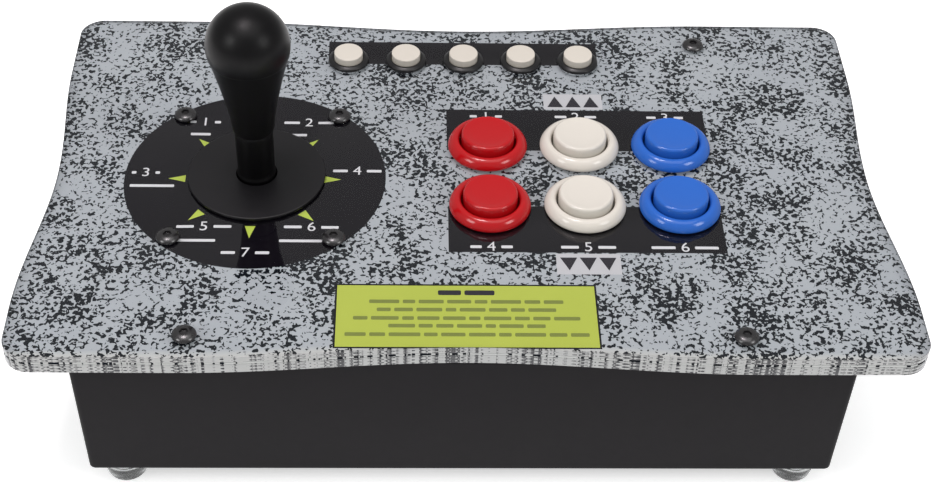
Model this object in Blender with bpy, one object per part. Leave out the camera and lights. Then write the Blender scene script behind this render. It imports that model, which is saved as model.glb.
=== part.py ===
"""Arcade joystick panel: a clear-topped control panel on a folded steel case, with a bat-top
joystick, six push-buttons, five small push-buttons and the parts that sit under the panel.

Run with blender --background --python part.py, or from Blender's text editor. Metres, +Z up,
+X to the player's right, +Y away from the player. The origin is on the table under the middle
of the panel.
"""

import math

import bmesh
import bpy
from mathutils import Matrix, Vector

MM = 0.001
GAP = 0.3 * MM

# ---------------------------------------------------------------- driving dimensions
# Heights, from the table up.
FOOT_HEIGHT = 10.0 * MM
CASE_HEIGHT = 64.0 * MM
BACKING_THICKNESS = 4.5 * MM
ARTWORK_THICKNESS = 0.3 * MM
COVER_THICKNESS = 2.9 * MM

# The panel's outline: wavy edges that meet in round corners.
PANEL_HALF_DEPTH = 103.9 * MM
PANEL_END_DIP = 5.6 * MM
PANEL_END_DIP_REACH = 110.0 * MM
PANEL_WAIST_HALF_WIDTH = 167.1 * MM
PANEL_FRONT_HALF_WIDTH = 174.3 * MM
PANEL_FRONT_BULGE_Y = 79.0 * MM
PANEL_REAR_HALF_WIDTH = 170.8 * MM
PANEL_REAR_BULGE_Y = 66.0 * MM
PANEL_CORNER_RADIUS = 10.2 * MM

# The case, which widens a little towards the top. The panel's overhang is not quite even round it.
CASE_X = -1.2 * MM
CASE_Y = -2.0 * MM
CASE_LOW_HALF_WIDTH = 148.5 * MM
CASE_HIGH_HALF_WIDTH = 150.2 * MM
CASE_HALF_DEPTH = 96.0 * MM
CASE_SHEET = 1.5 * MM
CASE_BEND_RADIUS = 2.4 * MM
CASE_CORNER_RADIUS = 2.4 * MM
CASE_FLANGE_WIDTH = 9.0 * MM
WELD_NUT_RADIUS = 3.6 * MM
WELD_NUT_HEIGHT = 4.5 * MM
FOOT_X = 135.2 * MM
FOOT_Y = 86.6 * MM
FOOT_RADIUS = 8.6 * MM

# Fasteners. The panel screws' spacing is taken from the middle of the case.
PANEL_SCREW_X = 105.7 * MM
PANEL_SCREW_Y = 90.5 * MM
SCREW_RADIUS = 2.5 * MM
SCREW_HEAD_RADIUS = 4.75 * MM
SCREW_HEAD_HEIGHT = 2.2 * MM
SCREW_HOLE_RADIUS = 2.8 * MM
SCREW_SOCKET_RADIUS = 1.7 * MM
SCREW_SOCKET_DEPTH = 1.3 * MM
PANEL_SCREW_LENGTH = 15.0 * MM
JOYSTICK_BOLT_LENGTH = 18.0 * MM
JOYSTICK_NUT_RADIUS = 4.4 * MM
JOYSTICK_NUT_HEIGHT = 4.0 * MM

# The joystick.
STICK_X = -85.7 * MM
STICK_Y = -1.5 * MM
STICK_PIVOT_Z = 66.0 * MM
STICK_LEAN = math.radians(8.0)
STICK_BOLT_X = 32.7 * MM
STICK_BOLT_Y = 37.8 * MM
STICK_PANEL_HOLE_RADIUS = 14.3 * MM
SHAFT_RADIUS = 4.76 * MM
SHAFT_LOW_Z = 22.0 * MM
SHAFT_HIGH_Z = 151.0 * MM
SLEEVE_LOW_RADIUS = 7.6 * MM
SLEEVE_FLARE_RADIUS = 8.0 * MM
SLEEVE_NECK_RADIUS = 7.55 * MM
SLEEVE_HIGH_RADIUS = 7.75 * MM
SLEEVE_LOW_Z = 74.6 * MM
SLEEVE_HIGH_Z = 107.7 * MM
BAT_TOP_Z = 165.8 * MM
BAT_RADIUS = 16.6 * MM
WASHER_RADIUS = 28.2 * MM
WASHER_LIP_INNER_RADIUS = 24.4 * MM
WASHER_WEB_THICKNESS = 0.6 * MM
WASHER_HOLE_RADIUS = 8.3 * MM
SLIP_RING_RADIUS = 21.0 * MM
SLIP_RING_HOLE_RADIUS = 12.5 * MM
SLIP_RING_THICKNESS = 0.4 * MM
PIVOT_BALL_RADIUS = 10.0 * MM
PIVOT_BALL_HALF_HEIGHT = 7.0 * MM
PLATE_HALF_WIDTH = 39.5 * MM
PLATE_HALF_DEPTH = 45.5 * MM
PLATE_THICKNESS = 2.0 * MM
PLATE_CORNER_RADIUS = 6.0 * MM
PLATE_HOLE_RADIUS = 13.0 * MM
HOUSING_HALF_WIDTH = 26.0 * MM
HOUSING_LOW_Z = 44.0 * MM
HOUSING_FLANGE_HALF_WIDTH = 32.5 * MM
HOUSING_FLANGE_THICKNESS = 3.0 * MM
HOUSING_BORE_RADIUS = 14.5 * MM
HOUSING_SEAT_LOW_Z = 58.0 * MM
ACTUATOR_RADIUS = 9.0 * MM
ACTUATOR_HEIGHT = 18.0 * MM
CLIP_RADIUS = 7.6 * MM
CLIP_THICKNESS = 1.2 * MM
CLIP_Z = 24.0 * MM
SPRING_COIL_RADIUS = 6.5 * MM
SPRING_WIRE_RADIUS = 0.7 * MM
SPRING_TURNS = 4.5
# The bat's outside below its round end: radius, and height above its lower end.
BAT_TAPER = (
    (8.35 * MM, 0.0),
    (8.7 * MM, 2.4 * MM),
    (9.85 * MM, 11.0 * MM),
    (11.5 * MM, 19.0 * MM),
    (13.5 * MM, 27.5 * MM),
    (15.4 * MM, 35.0 * MM),
)
BAT_DOME_DEGREES = (-12.0, 5.0, 22.0, 40.0, 58.0, 75.0)

# The microswitches.
SWITCH_LENGTH = 27.8 * MM
SWITCH_HEIGHT = 15.9 * MM
SWITCH_THICKNESS = 10.3 * MM
SWITCH_INNER_FACE = 15.7 * MM
SWITCH_BEVEL = 0.6 * MM
SWITCH_NUB = (1.0 * MM, 1.6 * MM, 1.5 * MM)
TERMINAL_SPACING = 9.0 * MM
TERMINAL_LENGTH = 5.0 * MM
TERMINAL_HALF_WIDTH = 2.4 * MM
TERMINAL_HALF_THICKNESS = 0.4 * MM

# The push-buttons.
BUTTON_FIRST_X = 9.7 * MM
BUTTON_PITCH_X = 38.65 * MM
BUTTON_FRONT_Y = -19.3 * MM
BUTTON_PITCH_Y = 37.1 * MM
BUTTON_RIM_RADIUS = 16.65 * MM
BUTTON_RIM_HEIGHT = 4.6 * MM
BUTTON_BARREL_RADIUS = 13.7 * MM
BUTTON_HOLE_RADIUS = 14.1 * MM
BUTTON_BARREL_LENGTH = 37.0 * MM
BUTTON_NUT_RADIUS = 16.8 * MM
BUTTON_NUT_HEIGHT = 6.0 * MM
BUTTON_WELL_RADIUS = 11.9 * MM
BUTTON_WELL_DEPTH = 7.0 * MM
BUTTON_INSIDE_RADIUS = 10.4 * MM
BUTTON_FLOOR = 1.5 * MM
STEM_HOLE_RADIUS = 4.2 * MM
PLUNGER_RADIUS = 11.15 * MM
PLUNGER_STAND = 7.9 * MM
PLUNGER_SKIRT = 2.0 * MM
PLUNGER_TRAVEL = 3.5 * MM
STEM_RADIUS = 3.4 * MM

# The small push-buttons.
SMALL_FIRST_X = -50.2 * MM
SMALL_PITCH = 25.4 * MM
SMALL_Y = 75.6 * MM
SMALL_COUNT = 5
SMALL_BEZEL_RADIUS = 9.0 * MM
SMALL_BEZEL_HEIGHT = 2.2 * MM
SMALL_BARREL_RADIUS = 7.6 * MM
SMALL_HOLE_RADIUS = 8.0 * MM
SMALL_BARREL_LENGTH = 22.0 * MM
SMALL_NUT_RADIUS = 9.4 * MM
SMALL_NUT_HEIGHT = 3.0 * MM
SMALL_FLOOR = 2.0 * MM
SMALL_WELL_CLEARANCE = 0.35 * MM
SMALL_CAP_RADIUS = 6.3 * MM
SMALL_CAP_STAND = 5.2 * MM
SMALL_CAP_SKIRT = 3.0 * MM
SMALL_STEM_RADIUS = 2.0 * MM
SMALL_TRAVEL = 2.0 * MM

# The electronics.
BOARD_HALF_LENGTH = 34.0 * MM
BOARD_HALF_WIDTH = 21.0 * MM
BOARD_THICKNESS = 1.6 * MM
BOARD_STAND = 5.0 * MM
BOARD_Y = 58.0 * MM
BOARD_STANDOFF_INSET = 4.0 * MM
BOARD_STANDOFF_HALF_WIDTH = 2.5 * MM
CHIP_HALF_WIDTH = 7.0 * MM
CHIP_HEIGHT = 2.4 * MM
HEADER_X = 26.0 * MM
HEADER_HALF_SIZE = (3.0 * MM, 15.0 * MM)
HEADER_HEIGHT = 8.0 * MM
USB_Z = 42.0 * MM
USB_CAVITY_HALF_WIDTH = 4.25 * MM
USB_CAVITY_HALF_HEIGHT = 3.9 * MM
USB_CAVITY_DEPTH = 12.0 * MM
USB_WALL = 1.3 * MM
USB_FLANGE_THICKNESS = 1.2 * MM
USB_FLANGE_MARGIN = (4.5 * MM, 3.5 * MM)

# ---------------------------------------------------------------- heights that follow
CASE_LOW_Z = FOOT_HEIGHT + GAP
CASE_HIGH_Z = FOOT_HEIGHT + CASE_HEIGHT
BACKING_LOW_Z = CASE_HIGH_Z + GAP
ARTWORK_LOW_Z = BACKING_LOW_Z + BACKING_THICKNESS + GAP
COVER_LOW_Z = ARTWORK_LOW_Z + ARTWORK_THICKNESS + GAP
PANEL_TOP_Z = COVER_LOW_Z + COVER_THICKNESS
SLIP_RING_LOW_Z = PANEL_TOP_Z + GAP
WASHER_WEB_LOW_Z = SLIP_RING_LOW_Z + SLIP_RING_THICKNESS + GAP
WASHER_HIGH_Z = WASHER_WEB_LOW_Z + WASHER_WEB_THICKNESS
FLOOR_TOP_Z = CASE_LOW_Z + CASE_SHEET
STICK_PLACE = Vector((STICK_X, STICK_Y, 0.0))
STICK_PIVOT = Vector((STICK_X, STICK_Y, STICK_PIVOT_Z))

# Sides of round pieces.
ROUND_SMALL = 10
ROUND_MEDIUM = 14
ROUND_LARGE = 20


# ---------------------------------------------------------------- scene and materials
def clear_scene():
    for old in list(bpy.data.objects):
        bpy.data.objects.remove(old, do_unlink=True)


def material(name, colour, roughness, metallic=0.0, alpha=1.0):
    made = bpy.data.materials.new(name)
    made.use_nodes = True
    shader = made.node_tree.nodes["Principled BSDF"]
    shader.inputs["Base Color"].default_value = (*colour, 1.0)
    shader.inputs["Roughness"].default_value = roughness
    shader.inputs["Metallic"].default_value = metallic
    shader.inputs["Alpha"].default_value = alpha
    made.diffuse_color = (*colour, alpha)
    return made


def place(name, mesh, look, location=(0.0, 0.0, 0.0), smooth_angle=35.0):
    made = bpy.data.objects.new(name, mesh)
    made.location = location
    bpy.context.scene.collection.objects.link(made)
    if look is not None and look.name not in mesh.materials:
        mesh.materials.append(look)
    if smooth_angle:
        mesh.shade_smooth()
        mesh.set_sharp_from_angle(angle=math.radians(smooth_angle))
    return made


def pivot_empty(name, location):
    made = bpy.data.objects.new(name, None)
    made.location = location
    made.empty_display_size = 10.0 * MM
    bpy.context.scene.collection.objects.link(made)
    return made


def hang_on(child, parent):
    """Parents child to parent and keeps the child where it is."""
    child.parent = parent
    child.matrix_parent_inverse = Matrix.Translation(parent.location).inverted()


# ---------------------------------------------------------------- mesh makers
def finish_mesh(name, shape):
    bmesh.ops.recalc_face_normals(shape, faces=shape.faces)
    mesh = bpy.data.meshes.new(name)
    shape.to_mesh(mesh)
    shape.free()
    return mesh


def turned_mesh(name, profile, sides):
    """Turns a closed (radius, height) profile about Z. Points of radius 0 become poles."""
    shape = bmesh.new()
    turn = [2.0 * math.pi * k / sides for k in range(sides)]
    rings = []
    for radius, height in profile:
        spots = [(radius * math.cos(a), radius * math.sin(a), height) for a in turn]
        if radius == 0.0:
            spots = [(0.0, 0.0, height)]
        rings.append([shape.verts.new(spot) for spot in spots])
    for low, high in zip(rings, rings[1:] + rings[:1]):
        if len(low) == 1 and len(high) == 1:
            continue
        for k in range(sides):
            following = (k + 1) % sides
            corners = [low[k % len(low)], low[following % len(low)]]
            corners += [high[following % len(high)], high[k % len(high)]]
            shape.faces.new(list(dict.fromkeys(corners)))
    return finish_mesh(name, shape)


def sheet_mesh(name, outline, holes, low_z, thickness):
    """A flat sheet with the given outline and round holes, each (x, y, radius, sides)."""
    shape = bmesh.new()
    loops = [outline]
    for x, y, radius, sides in holes:
        turn = [2.0 * math.pi * k / sides for k in range(sides)]
        loops.append([(x + radius * math.cos(a), y + radius * math.sin(a)) for a in turn])
    edges = []
    for loop in loops:
        verts = [shape.verts.new((x, y, low_z)) for x, y in loop]
        edges += [shape.edges.new((a, b)) for a, b in zip(verts, verts[1:] + verts[:1])]
    bmesh.ops.triangle_fill(shape, edges=edges, use_beauty=True, normal=(0.0, 0.0, 1.0))
    grown = bmesh.ops.extrude_face_region(shape, geom=list(shape.faces))
    raised = [item for item in grown["geom"] if isinstance(item, bmesh.types.BMVert)]
    bmesh.ops.translate(shape, verts=raised, vec=(0.0, 0.0, thickness))
    return finish_mesh(name, shape)


def box_mesh(name, low, high, bevel=0.0):
    shape = bmesh.new()
    bmesh.ops.create_cube(shape, size=1.0)
    middle = (Vector(low) + Vector(high)) / 2.0
    size = Vector(high) - Vector(low)
    bmesh.ops.scale(shape, vec=size, verts=shape.verts)
    bmesh.ops.translate(shape, vec=middle, verts=shape.verts)
    if bevel:
        bmesh.ops.bevel(shape, geom=list(shape.edges), offset=bevel, segments=1, affect="EDGES")
    return finish_mesh(name, shape)


def round_rectangle(half_width, half_depth, radius, steps=3):
    """Corner points of a rectangle with round corners, anticlockwise."""
    points = []
    for corner in range(4):
        start = corner * math.pi / 2.0
        sign_x = 1.0 if corner in (0, 3) else -1.0
        sign_y = 1.0 if corner in (0, 1) else -1.0
        for k in range(steps + 1):
            angle = start + k / steps * math.pi / 2.0
            x = sign_x * (half_width - radius) + radius * math.cos(angle)
            y = sign_y * (half_depth - radius) + radius * math.sin(angle)
            points.append((x, y))
    return points


def lofted_mesh(name, loops):
    """Joins loops of (x, y, z) points, all of one length, and caps the first and the last."""
    shape = bmesh.new()
    rows = [[shape.verts.new(point) for point in loop] for loop in loops]
    count = len(rows[0])
    for low, high in zip(rows, rows[1:]):
        for k in range(count):
            following = (k + 1) % count
            shape.faces.new((low[k], low[following], high[following], high[k]))
    shape.faces.new(rows[0])
    shape.faces.new(rows[-1])
    return finish_mesh(name, shape)


def joined_bodies(name, meshes):
    """One mesh that holds several closed bodies: a tool for a Boolean, never a part."""
    shape = bmesh.new()
    for mesh in meshes:
        shape.from_mesh(mesh)
    return finish_mesh(name, shape)


def boolean(target, tool_mesh, operation, location=(0.0, 0.0, 0.0)):
    """Adds a Boolean to target, with a hidden tool object made from tool_mesh."""
    tool = bpy.data.objects.new(target.name + "_tool", tool_mesh)
    tool.location = location
    tool.hide_render = True
    tool.display_type = "WIRE"
    bpy.context.scene.collection.objects.link(tool)
    step = target.modifiers.new(operation.lower(), "BOOLEAN")
    step.operation = operation
    step.solver = "EXACT"
    step.object = tool
    return step


def cylinder_mesh(name, radius, low_z, high_z, sides, x=0.0, y=0.0):
    mesh = turned_mesh(name, [(0.0, low_z), (radius, low_z), (radius, high_z), (0.0, high_z)], sides)
    mesh.transform(Matrix.Translation((x, y, 0.0)))
    return mesh


# ---------------------------------------------------------------- the panel's outline
def eased(distance, reach):
    """1 in the middle, falling to 0 at reach as half a cosine wave."""
    if abs(distance) >= reach:
        return 0.0
    return 0.5 * (1.0 + math.cos(math.pi * distance / reach))


def end_y(x):
    """Half depth of the panel at x."""
    return PANEL_HALF_DEPTH - PANEL_END_DIP * eased(x, PANEL_END_DIP_REACH)


def side_x(y):
    """Half width of the panel at y."""
    wide = PANEL_FRONT_HALF_WIDTH
    reach = PANEL_FRONT_BULGE_Y
    if y >= 0.0:
        wide = PANEL_REAR_HALF_WIDTH
        reach = PANEL_REAR_BULGE_Y
    return wide - (wide - PANEL_WAIST_HALF_WIDTH) * eased(y, reach)


def corner_points(sign_x, sign_y, start, steps=5):
    """A round corner, from angle start through a quarter turn."""
    radius = PANEL_CORNER_RADIUS
    half_width = side_x(sign_y * PANEL_HALF_DEPTH)
    points = []
    for k in range(steps + 1):
        angle = start + k / steps * math.pi / 2.0
        x = sign_x * (half_width - radius) + radius * math.cos(angle)
        y = sign_y * (PANEL_HALF_DEPTH - radius) + radius * math.sin(angle)
        points.append((x, y))
    return points


def panel_outline():
    """The panel's edge, anticlockwise from the middle of the right side."""
    across = [PANEL_END_DIP_REACH * k / 6.0 for k in range(6, -7, -1)]
    rear_side = [PANEL_REAR_BULGE_Y * k / 4.0 for k in range(0, 5)]
    front_side = [PANEL_FRONT_BULGE_Y * k / 4.0 for k in range(4, 0, -1)]
    points = [(side_x(y), y) for y in rear_side]
    points += corner_points(1.0, 1.0, 0.0)
    points += [(x, end_y(x)) for x in across]
    points += corner_points(-1.0, 1.0, math.pi / 2.0)
    points += [(-side_x(y), y) for y in reversed(rear_side)]
    points += [(-side_x(-y), -y) for y in reversed(front_side)]
    points += corner_points(-1.0, -1.0, math.pi)
    points += [(-x, -end_y(x)) for x in across]
    points += corner_points(1.0, -1.0, 1.5 * math.pi)
    points += [(side_x(-y), -y) for y in front_side]
    return points


# ---------------------------------------------------------------- where the repeats sit
def panel_screw_places():
    offsets = [(x, y) for y in (-PANEL_SCREW_Y, PANEL_SCREW_Y) for x in (-PANEL_SCREW_X, PANEL_SCREW_X)]
    return [(CASE_X + x, CASE_Y + y) for x, y in offsets]


def joystick_bolt_places():
    offsets = [(x, y) for y in (-STICK_BOLT_Y, STICK_BOLT_Y) for x in (-STICK_BOLT_X, STICK_BOLT_X)]
    return [(STICK_X + x, STICK_Y + y) for x, y in offsets]


def button_places():
    """Rear row first, left to right."""
    rows = (BUTTON_FRONT_Y + BUTTON_PITCH_Y, BUTTON_FRONT_Y)
    return [(BUTTON_FIRST_X + BUTTON_PITCH_X * column, y) for y in rows for column in range(3)]


def small_button_places():
    return [(SMALL_FIRST_X + SMALL_PITCH * k, SMALL_Y) for k in range(SMALL_COUNT)]


def panel_holes():
    holes = [(x, y, SCREW_HOLE_RADIUS, 8) for x, y in panel_screw_places() + joystick_bolt_places()]
    holes += [(x, y, BUTTON_HOLE_RADIUS, ROUND_MEDIUM) for x, y in button_places()]
    holes += [(x, y, SMALL_HOLE_RADIUS, ROUND_SMALL) for x, y in small_button_places()]
    holes.append((STICK_X, STICK_Y, STICK_PANEL_HOLE_RADIUS, ROUND_MEDIUM))
    return holes


# ---------------------------------------------------------------- panel and case
def make_panel_sheets():
    outline = panel_outline()
    holes = panel_holes()
    clear = material("clear_acrylic", (0.86, 0.90, 0.92), 0.05, alpha=0.35)
    backing_clear = material("clear_backing", (0.80, 0.85, 0.87), 0.08, alpha=0.5)
    print_look = material("printed_film", (0.45, 0.47, 0.50), 0.5)
    backing = sheet_mesh("backing_sheet", outline, holes, BACKING_LOW_Z, BACKING_THICKNESS)
    place("backing_sheet", backing, backing_clear)
    artwork = sheet_mesh("artwork_sheet", outline, holes, ARTWORK_LOW_Z, ARTWORK_THICKNESS)
    place("artwork_sheet", artwork, print_look)
    cover = sheet_mesh("cover_sheet", outline, holes, COVER_LOW_Z, COVER_THICKNESS)
    place("cover_sheet", cover, clear)


def case_loop(inset, z, radius):
    rise = (z - CASE_LOW_Z) / (CASE_HIGH_Z - CASE_LOW_Z)
    half_width = CASE_LOW_HALF_WIDTH + rise * (CASE_HIGH_HALF_WIDTH - CASE_LOW_HALF_WIDTH)
    points = round_rectangle(half_width - inset, CASE_HALF_DEPTH - inset, radius)
    return [(CASE_X + x, CASE_Y + y, z) for x, y in points]


def make_case():
    """A folded tray with a flange turned in at the top, and weld nuts under the flange."""
    bend = CASE_BEND_RADIUS
    inner_radius = CASE_CORNER_RADIUS - CASE_SHEET
    loops = []
    for k in range(4):
        angle = k / 3.0 * math.pi / 2.0
        inset = bend * (1.0 - math.sin(angle))
        height = CASE_LOW_Z + bend * (1.0 - math.cos(angle))
        loops.append(case_loop(inset, height, max(CASE_CORNER_RADIUS - inset, inner_radius / 3.0)))
    loops.append(case_loop(0.0, CASE_HIGH_Z, CASE_CORNER_RADIUS))
    loops.append(case_loop(CASE_FLANGE_WIDTH, CASE_HIGH_Z, inner_radius))
    loops.append(case_loop(CASE_FLANGE_WIDTH, CASE_HIGH_Z - CASE_SHEET, inner_radius))
    loops.append(case_loop(CASE_SHEET, CASE_HIGH_Z - CASE_SHEET, inner_radius))
    loops.append(case_loop(CASE_SHEET, FLOOR_TOP_Z, inner_radius))
    look = material("black_powder_coat", (0.028, 0.026, 0.029), 0.5)
    case = place("case_shell", lofted_mesh("case_shell", loops), look)

    nut_low = CASE_HIGH_Z - CASE_SHEET - WELD_NUT_HEIGHT
    nut_high = CASE_HIGH_Z - CASE_SHEET / 2.0
    nuts = []
    holes = []
    for x, y in panel_screw_places():
        nuts.append(cylinder_mesh("weld_nut", WELD_NUT_RADIUS, nut_low, nut_high, 10, x, y))
        holes.append(cylinder_mesh("hole", SCREW_HOLE_RADIUS, nut_low - MM, CASE_HIGH_Z + MM, 8, x, y))
    boolean(case, joined_bodies("weld_nuts", nuts), "UNION")
    usb_half_width = USB_CAVITY_HALF_WIDTH + USB_WALL + GAP
    usb_half_height = USB_CAVITY_HALF_HEIGHT + USB_WALL + GAP
    rear = CASE_Y + CASE_HALF_DEPTH
    low = (CASE_X - usb_half_width, rear - 2.0 * CASE_SHEET, USB_Z - usb_half_height)
    high = (CASE_X + usb_half_width, rear + CASE_SHEET, USB_Z + usb_half_height)
    holes.append(box_mesh("socket_hole", low, high))
    boolean(case, joined_bodies("case_holes", holes), "DIFFERENCE")


def make_feet():
    clear = material("clear_bumper", (0.80, 0.81, 0.82), 0.25, alpha=0.5)
    profile = [
        (0.0, 0.0),
        (FOOT_RADIUS - 2.0 * MM, 0.0),
        (FOOT_RADIUS - 0.5 * MM, 1.0 * MM),
        (FOOT_RADIUS, 2.6 * MM),
        (FOOT_RADIUS, FOOT_HEIGHT),
        (0.0, FOOT_HEIGHT),
    ]
    mesh = turned_mesh("foot", profile, ROUND_MEDIUM)
    places = {
        "front_left": (-FOOT_X, -FOOT_Y),
        "front_right": (FOOT_X, -FOOT_Y),
        "rear_left": (-FOOT_X, FOOT_Y),
        "rear_right": (FOOT_X, FOOT_Y),
    }
    for side, (x, y) in places.items():
        place("foot_" + side, mesh, clear, (CASE_X + x, CASE_Y + y, 0.0))


# ---------------------------------------------------------------- fasteners
def button_head_profile(length):
    """A button-head screw with its head's underside at height 0, from its point up."""
    head = SCREW_HEAD_RADIUS
    top = SCREW_HEAD_HEIGHT
    return [
        (0.0, -length),
        (SCREW_RADIUS, -length),
        (SCREW_RADIUS, 0.0),
        (head, 0.0),
        (head, 0.22 * top),
        (0.80 * head, 0.70 * top),
        (0.48 * head, top),
        (SCREW_SOCKET_RADIUS, top),
        (SCREW_SOCKET_RADIUS, top - SCREW_SOCKET_DEPTH),
        (0.0, top - SCREW_SOCKET_DEPTH),
    ]


def make_panel_screws():
    black = material("black_oxide", (0.030, 0.030, 0.032), 0.35, 0.6)
    mesh = turned_mesh("panel_screw", button_head_profile(PANEL_SCREW_LENGTH), ROUND_SMALL)
    for number, (x, y) in enumerate(panel_screw_places(), 1):
        place(f"panel_screw_{number}", mesh, black, (x, y, PANEL_TOP_Z + GAP))


def make_joystick_bolts():
    """The bolts that clamp the joystick's plate under the panel, each with its nut run up."""
    black = material("black_bolt", (0.030, 0.030, 0.032), 0.35, 0.6)
    nut_high = CASE_HIGH_Z - PLATE_THICKNESS - GAP - (PANEL_TOP_Z + GAP)
    nut_low = nut_high - JOYSTICK_NUT_HEIGHT
    profile = button_head_profile(JOYSTICK_BOLT_LENGTH)
    nut = [(SCREW_RADIUS, nut_low), (JOYSTICK_NUT_RADIUS, nut_low)]
    nut += [(JOYSTICK_NUT_RADIUS, nut_high), (SCREW_RADIUS, nut_high)]
    mesh = turned_mesh("joystick_bolt", profile[:2] + nut + profile[2:], ROUND_SMALL)
    for number, (x, y) in enumerate(joystick_bolt_places(), 1):
        place(f"joystick_bolt_{number}", mesh, black, (x, y, PANEL_TOP_Z + GAP))


# ---------------------------------------------------------------- microswitch
def microswitch_mesh():
    """A microswitch lying on its side: plunger towards -X, terminals towards +X, cover flat in Z."""
    low = (0.0, -SWITCH_LENGTH / 2.0, -SWITCH_THICKNESS / 2.0)
    high = (SWITCH_HEIGHT, SWITCH_LENGTH / 2.0, SWITCH_THICKNESS / 2.0)
    block = box_mesh("microswitch", low, high, SWITCH_BEVEL)
    body = place("microswitch_master", block, None, smooth_angle=0.0)
    extras = [box_mesh("nub", [-size for size in SWITCH_NUB], SWITCH_NUB)]
    for y in (-TERMINAL_SPACING, 0.0, TERMINAL_SPACING):
        tab_low = (SWITCH_HEIGHT - MM, y - TERMINAL_HALF_WIDTH, -TERMINAL_HALF_THICKNESS)
        tab_high = (SWITCH_HEIGHT + TERMINAL_LENGTH, y + TERMINAL_HALF_WIDTH, TERMINAL_HALF_THICKNESS)
        extras.append(box_mesh("terminal", tab_low, tab_high))
    boolean(body, joined_bodies("microswitch_extras", extras), "UNION")
    bpy.context.view_layer.update()
    seen = body.evaluated_get(bpy.context.evaluated_depsgraph_get())
    mesh = bpy.data.meshes.new_from_object(seen)
    tool = body.modifiers[0].object
    bpy.data.objects.remove(body, do_unlink=True)
    bpy.data.objects.remove(tool, do_unlink=True)
    return mesh


# ---------------------------------------------------------------- joystick, fixed pieces
def make_joystick_frame(switch_mesh, switch_look):
    steel = material("zinc_plate", (0.62, 0.62, 0.60), 0.35, 0.9)
    corners = round_rectangle(PLATE_HALF_WIDTH, PLATE_HALF_DEPTH, PLATE_CORNER_RADIUS)
    outline = [(STICK_X + x, STICK_Y + y) for x, y in corners]
    holes = [(x, y, SCREW_HOLE_RADIUS, 8) for x, y in joystick_bolt_places()]
    holes.append((STICK_X, STICK_Y, PLATE_HOLE_RADIUS, ROUND_MEDIUM))
    plate_low = CASE_HIGH_Z - PLATE_THICKNESS
    plate = sheet_mesh("joystick_plate", outline, holes, plate_low, PLATE_THICKNESS)
    place("joystick_plate", plate, steel)

    black = material("moulded_nylon", (0.05, 0.05, 0.055), 0.5)
    top = plate_low - GAP
    half = HOUSING_HALF_WIDTH
    block = box_mesh("joystick_housing", (-half, -half, HOUSING_LOW_Z), (half, half, top))
    housing = place("joystick_housing", block, black, STICK_PLACE)
    wide = HOUSING_FLANGE_HALF_WIDTH
    flange_low = (-wide, -wide, HOUSING_LOW_Z - 1.0 * MM)
    flange_high = (wide, wide, HOUSING_LOW_Z - 1.0 * MM + HOUSING_FLANGE_THICKNESS)
    boolean(housing, box_mesh("housing_flange", flange_low, flange_high), "UNION", STICK_PLACE)
    seat_radius = PIVOT_BALL_RADIUS + 2.0 * GAP
    bore = [
        (0.0, HOUSING_LOW_Z - 3.0 * MM),
        (HOUSING_BORE_RADIUS, HOUSING_LOW_Z - 3.0 * MM),
        (HOUSING_BORE_RADIUS, HOUSING_SEAT_LOW_Z),
        (seat_radius, HOUSING_SEAT_LOW_Z),
        (seat_radius, top + MM),
        (0.0, top + MM),
    ]
    boolean(housing, turned_mesh("housing_bore", bore, ROUND_LARGE), "DIFFERENCE", STICK_PLACE)

    switch_z = HOUSING_LOW_Z - 1.0 * MM - GAP - SWITCH_THICKNESS / 2.0
    for number, name in enumerate(("right", "rear", "left", "front")):
        turn = number * math.pi / 2.0
        offset = Vector((math.cos(turn), math.sin(turn), 0.0)) * SWITCH_INNER_FACE
        spot = STICK_PLACE + offset + Vector((0.0, 0.0, switch_z))
        switch = place("joystick_switch_" + name, switch_mesh, switch_look, spot, 0.0)
        switch.rotation_euler = (0.0, 0.0, turn)


# ---------------------------------------------------------------- joystick, moving pieces
def pivot_ball_profile():
    steps = 6
    reach = math.asin(PIVOT_BALL_HALF_HEIGHT / PIVOT_BALL_RADIUS)
    angles = [-reach + 2.0 * reach * k / steps for k in range(steps + 1)]
    points = [(PIVOT_BALL_RADIUS * math.cos(a), PIVOT_BALL_RADIUS * math.sin(a)) for a in angles]
    return [(0.0, -PIVOT_BALL_HALF_HEIGHT)] + points + [(0.0, PIVOT_BALL_HALF_HEIGHT)]


def slot_mesh():
    """The slot through the pivot ball: the shaft's width across, longer fore and aft."""
    radius = SHAFT_RADIUS + GAP
    spare = PIVOT_BALL_HALF_HEIGHT * math.tan(STICK_LEAN) + 0.1 * MM
    outline = []
    for sign in (1.0, -1.0):
        for k in range(9):
            angle = math.pi * k / 8.0
            outline.append((sign * radius * math.cos(angle), sign * (spare + radius * math.sin(angle))))
    reach = PIVOT_BALL_HALF_HEIGHT + 2.0 * MM
    return sheet_mesh("ball_slot", outline, [], -reach, 2.0 * reach)


def spring_mesh(low_z, high_z):
    """A round-wire compression spring with its ends capped."""
    per_turn = 10
    wire_sides = 5
    steps = int(SPRING_TURNS * per_turn)
    shape = bmesh.new()
    rings = []
    for k in range(steps + 1):
        angle = 2.0 * math.pi * k / per_turn
        height = low_z + SPRING_WIRE_RADIUS + (high_z - low_z - 2.0 * SPRING_WIRE_RADIUS) * k / steps
        ring = []
        for side in range(wire_sides):
            around = 2.0 * math.pi * side / wire_sides
            radius = SPRING_COIL_RADIUS + SPRING_WIRE_RADIUS * math.cos(around)
            rise = height + SPRING_WIRE_RADIUS * math.sin(around)
            ring.append(shape.verts.new((radius * math.cos(angle), radius * math.sin(angle), rise)))
        rings.append(ring)
    for low, high in zip(rings, rings[1:]):
        for side in range(wire_sides):
            following = (side + 1) % wire_sides
            shape.faces.new((low[side], low[following], high[following], high[side]))
    shape.faces.new(rings[0])
    shape.faces.new(rings[-1])
    return finish_mesh("return_spring", shape)


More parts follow.
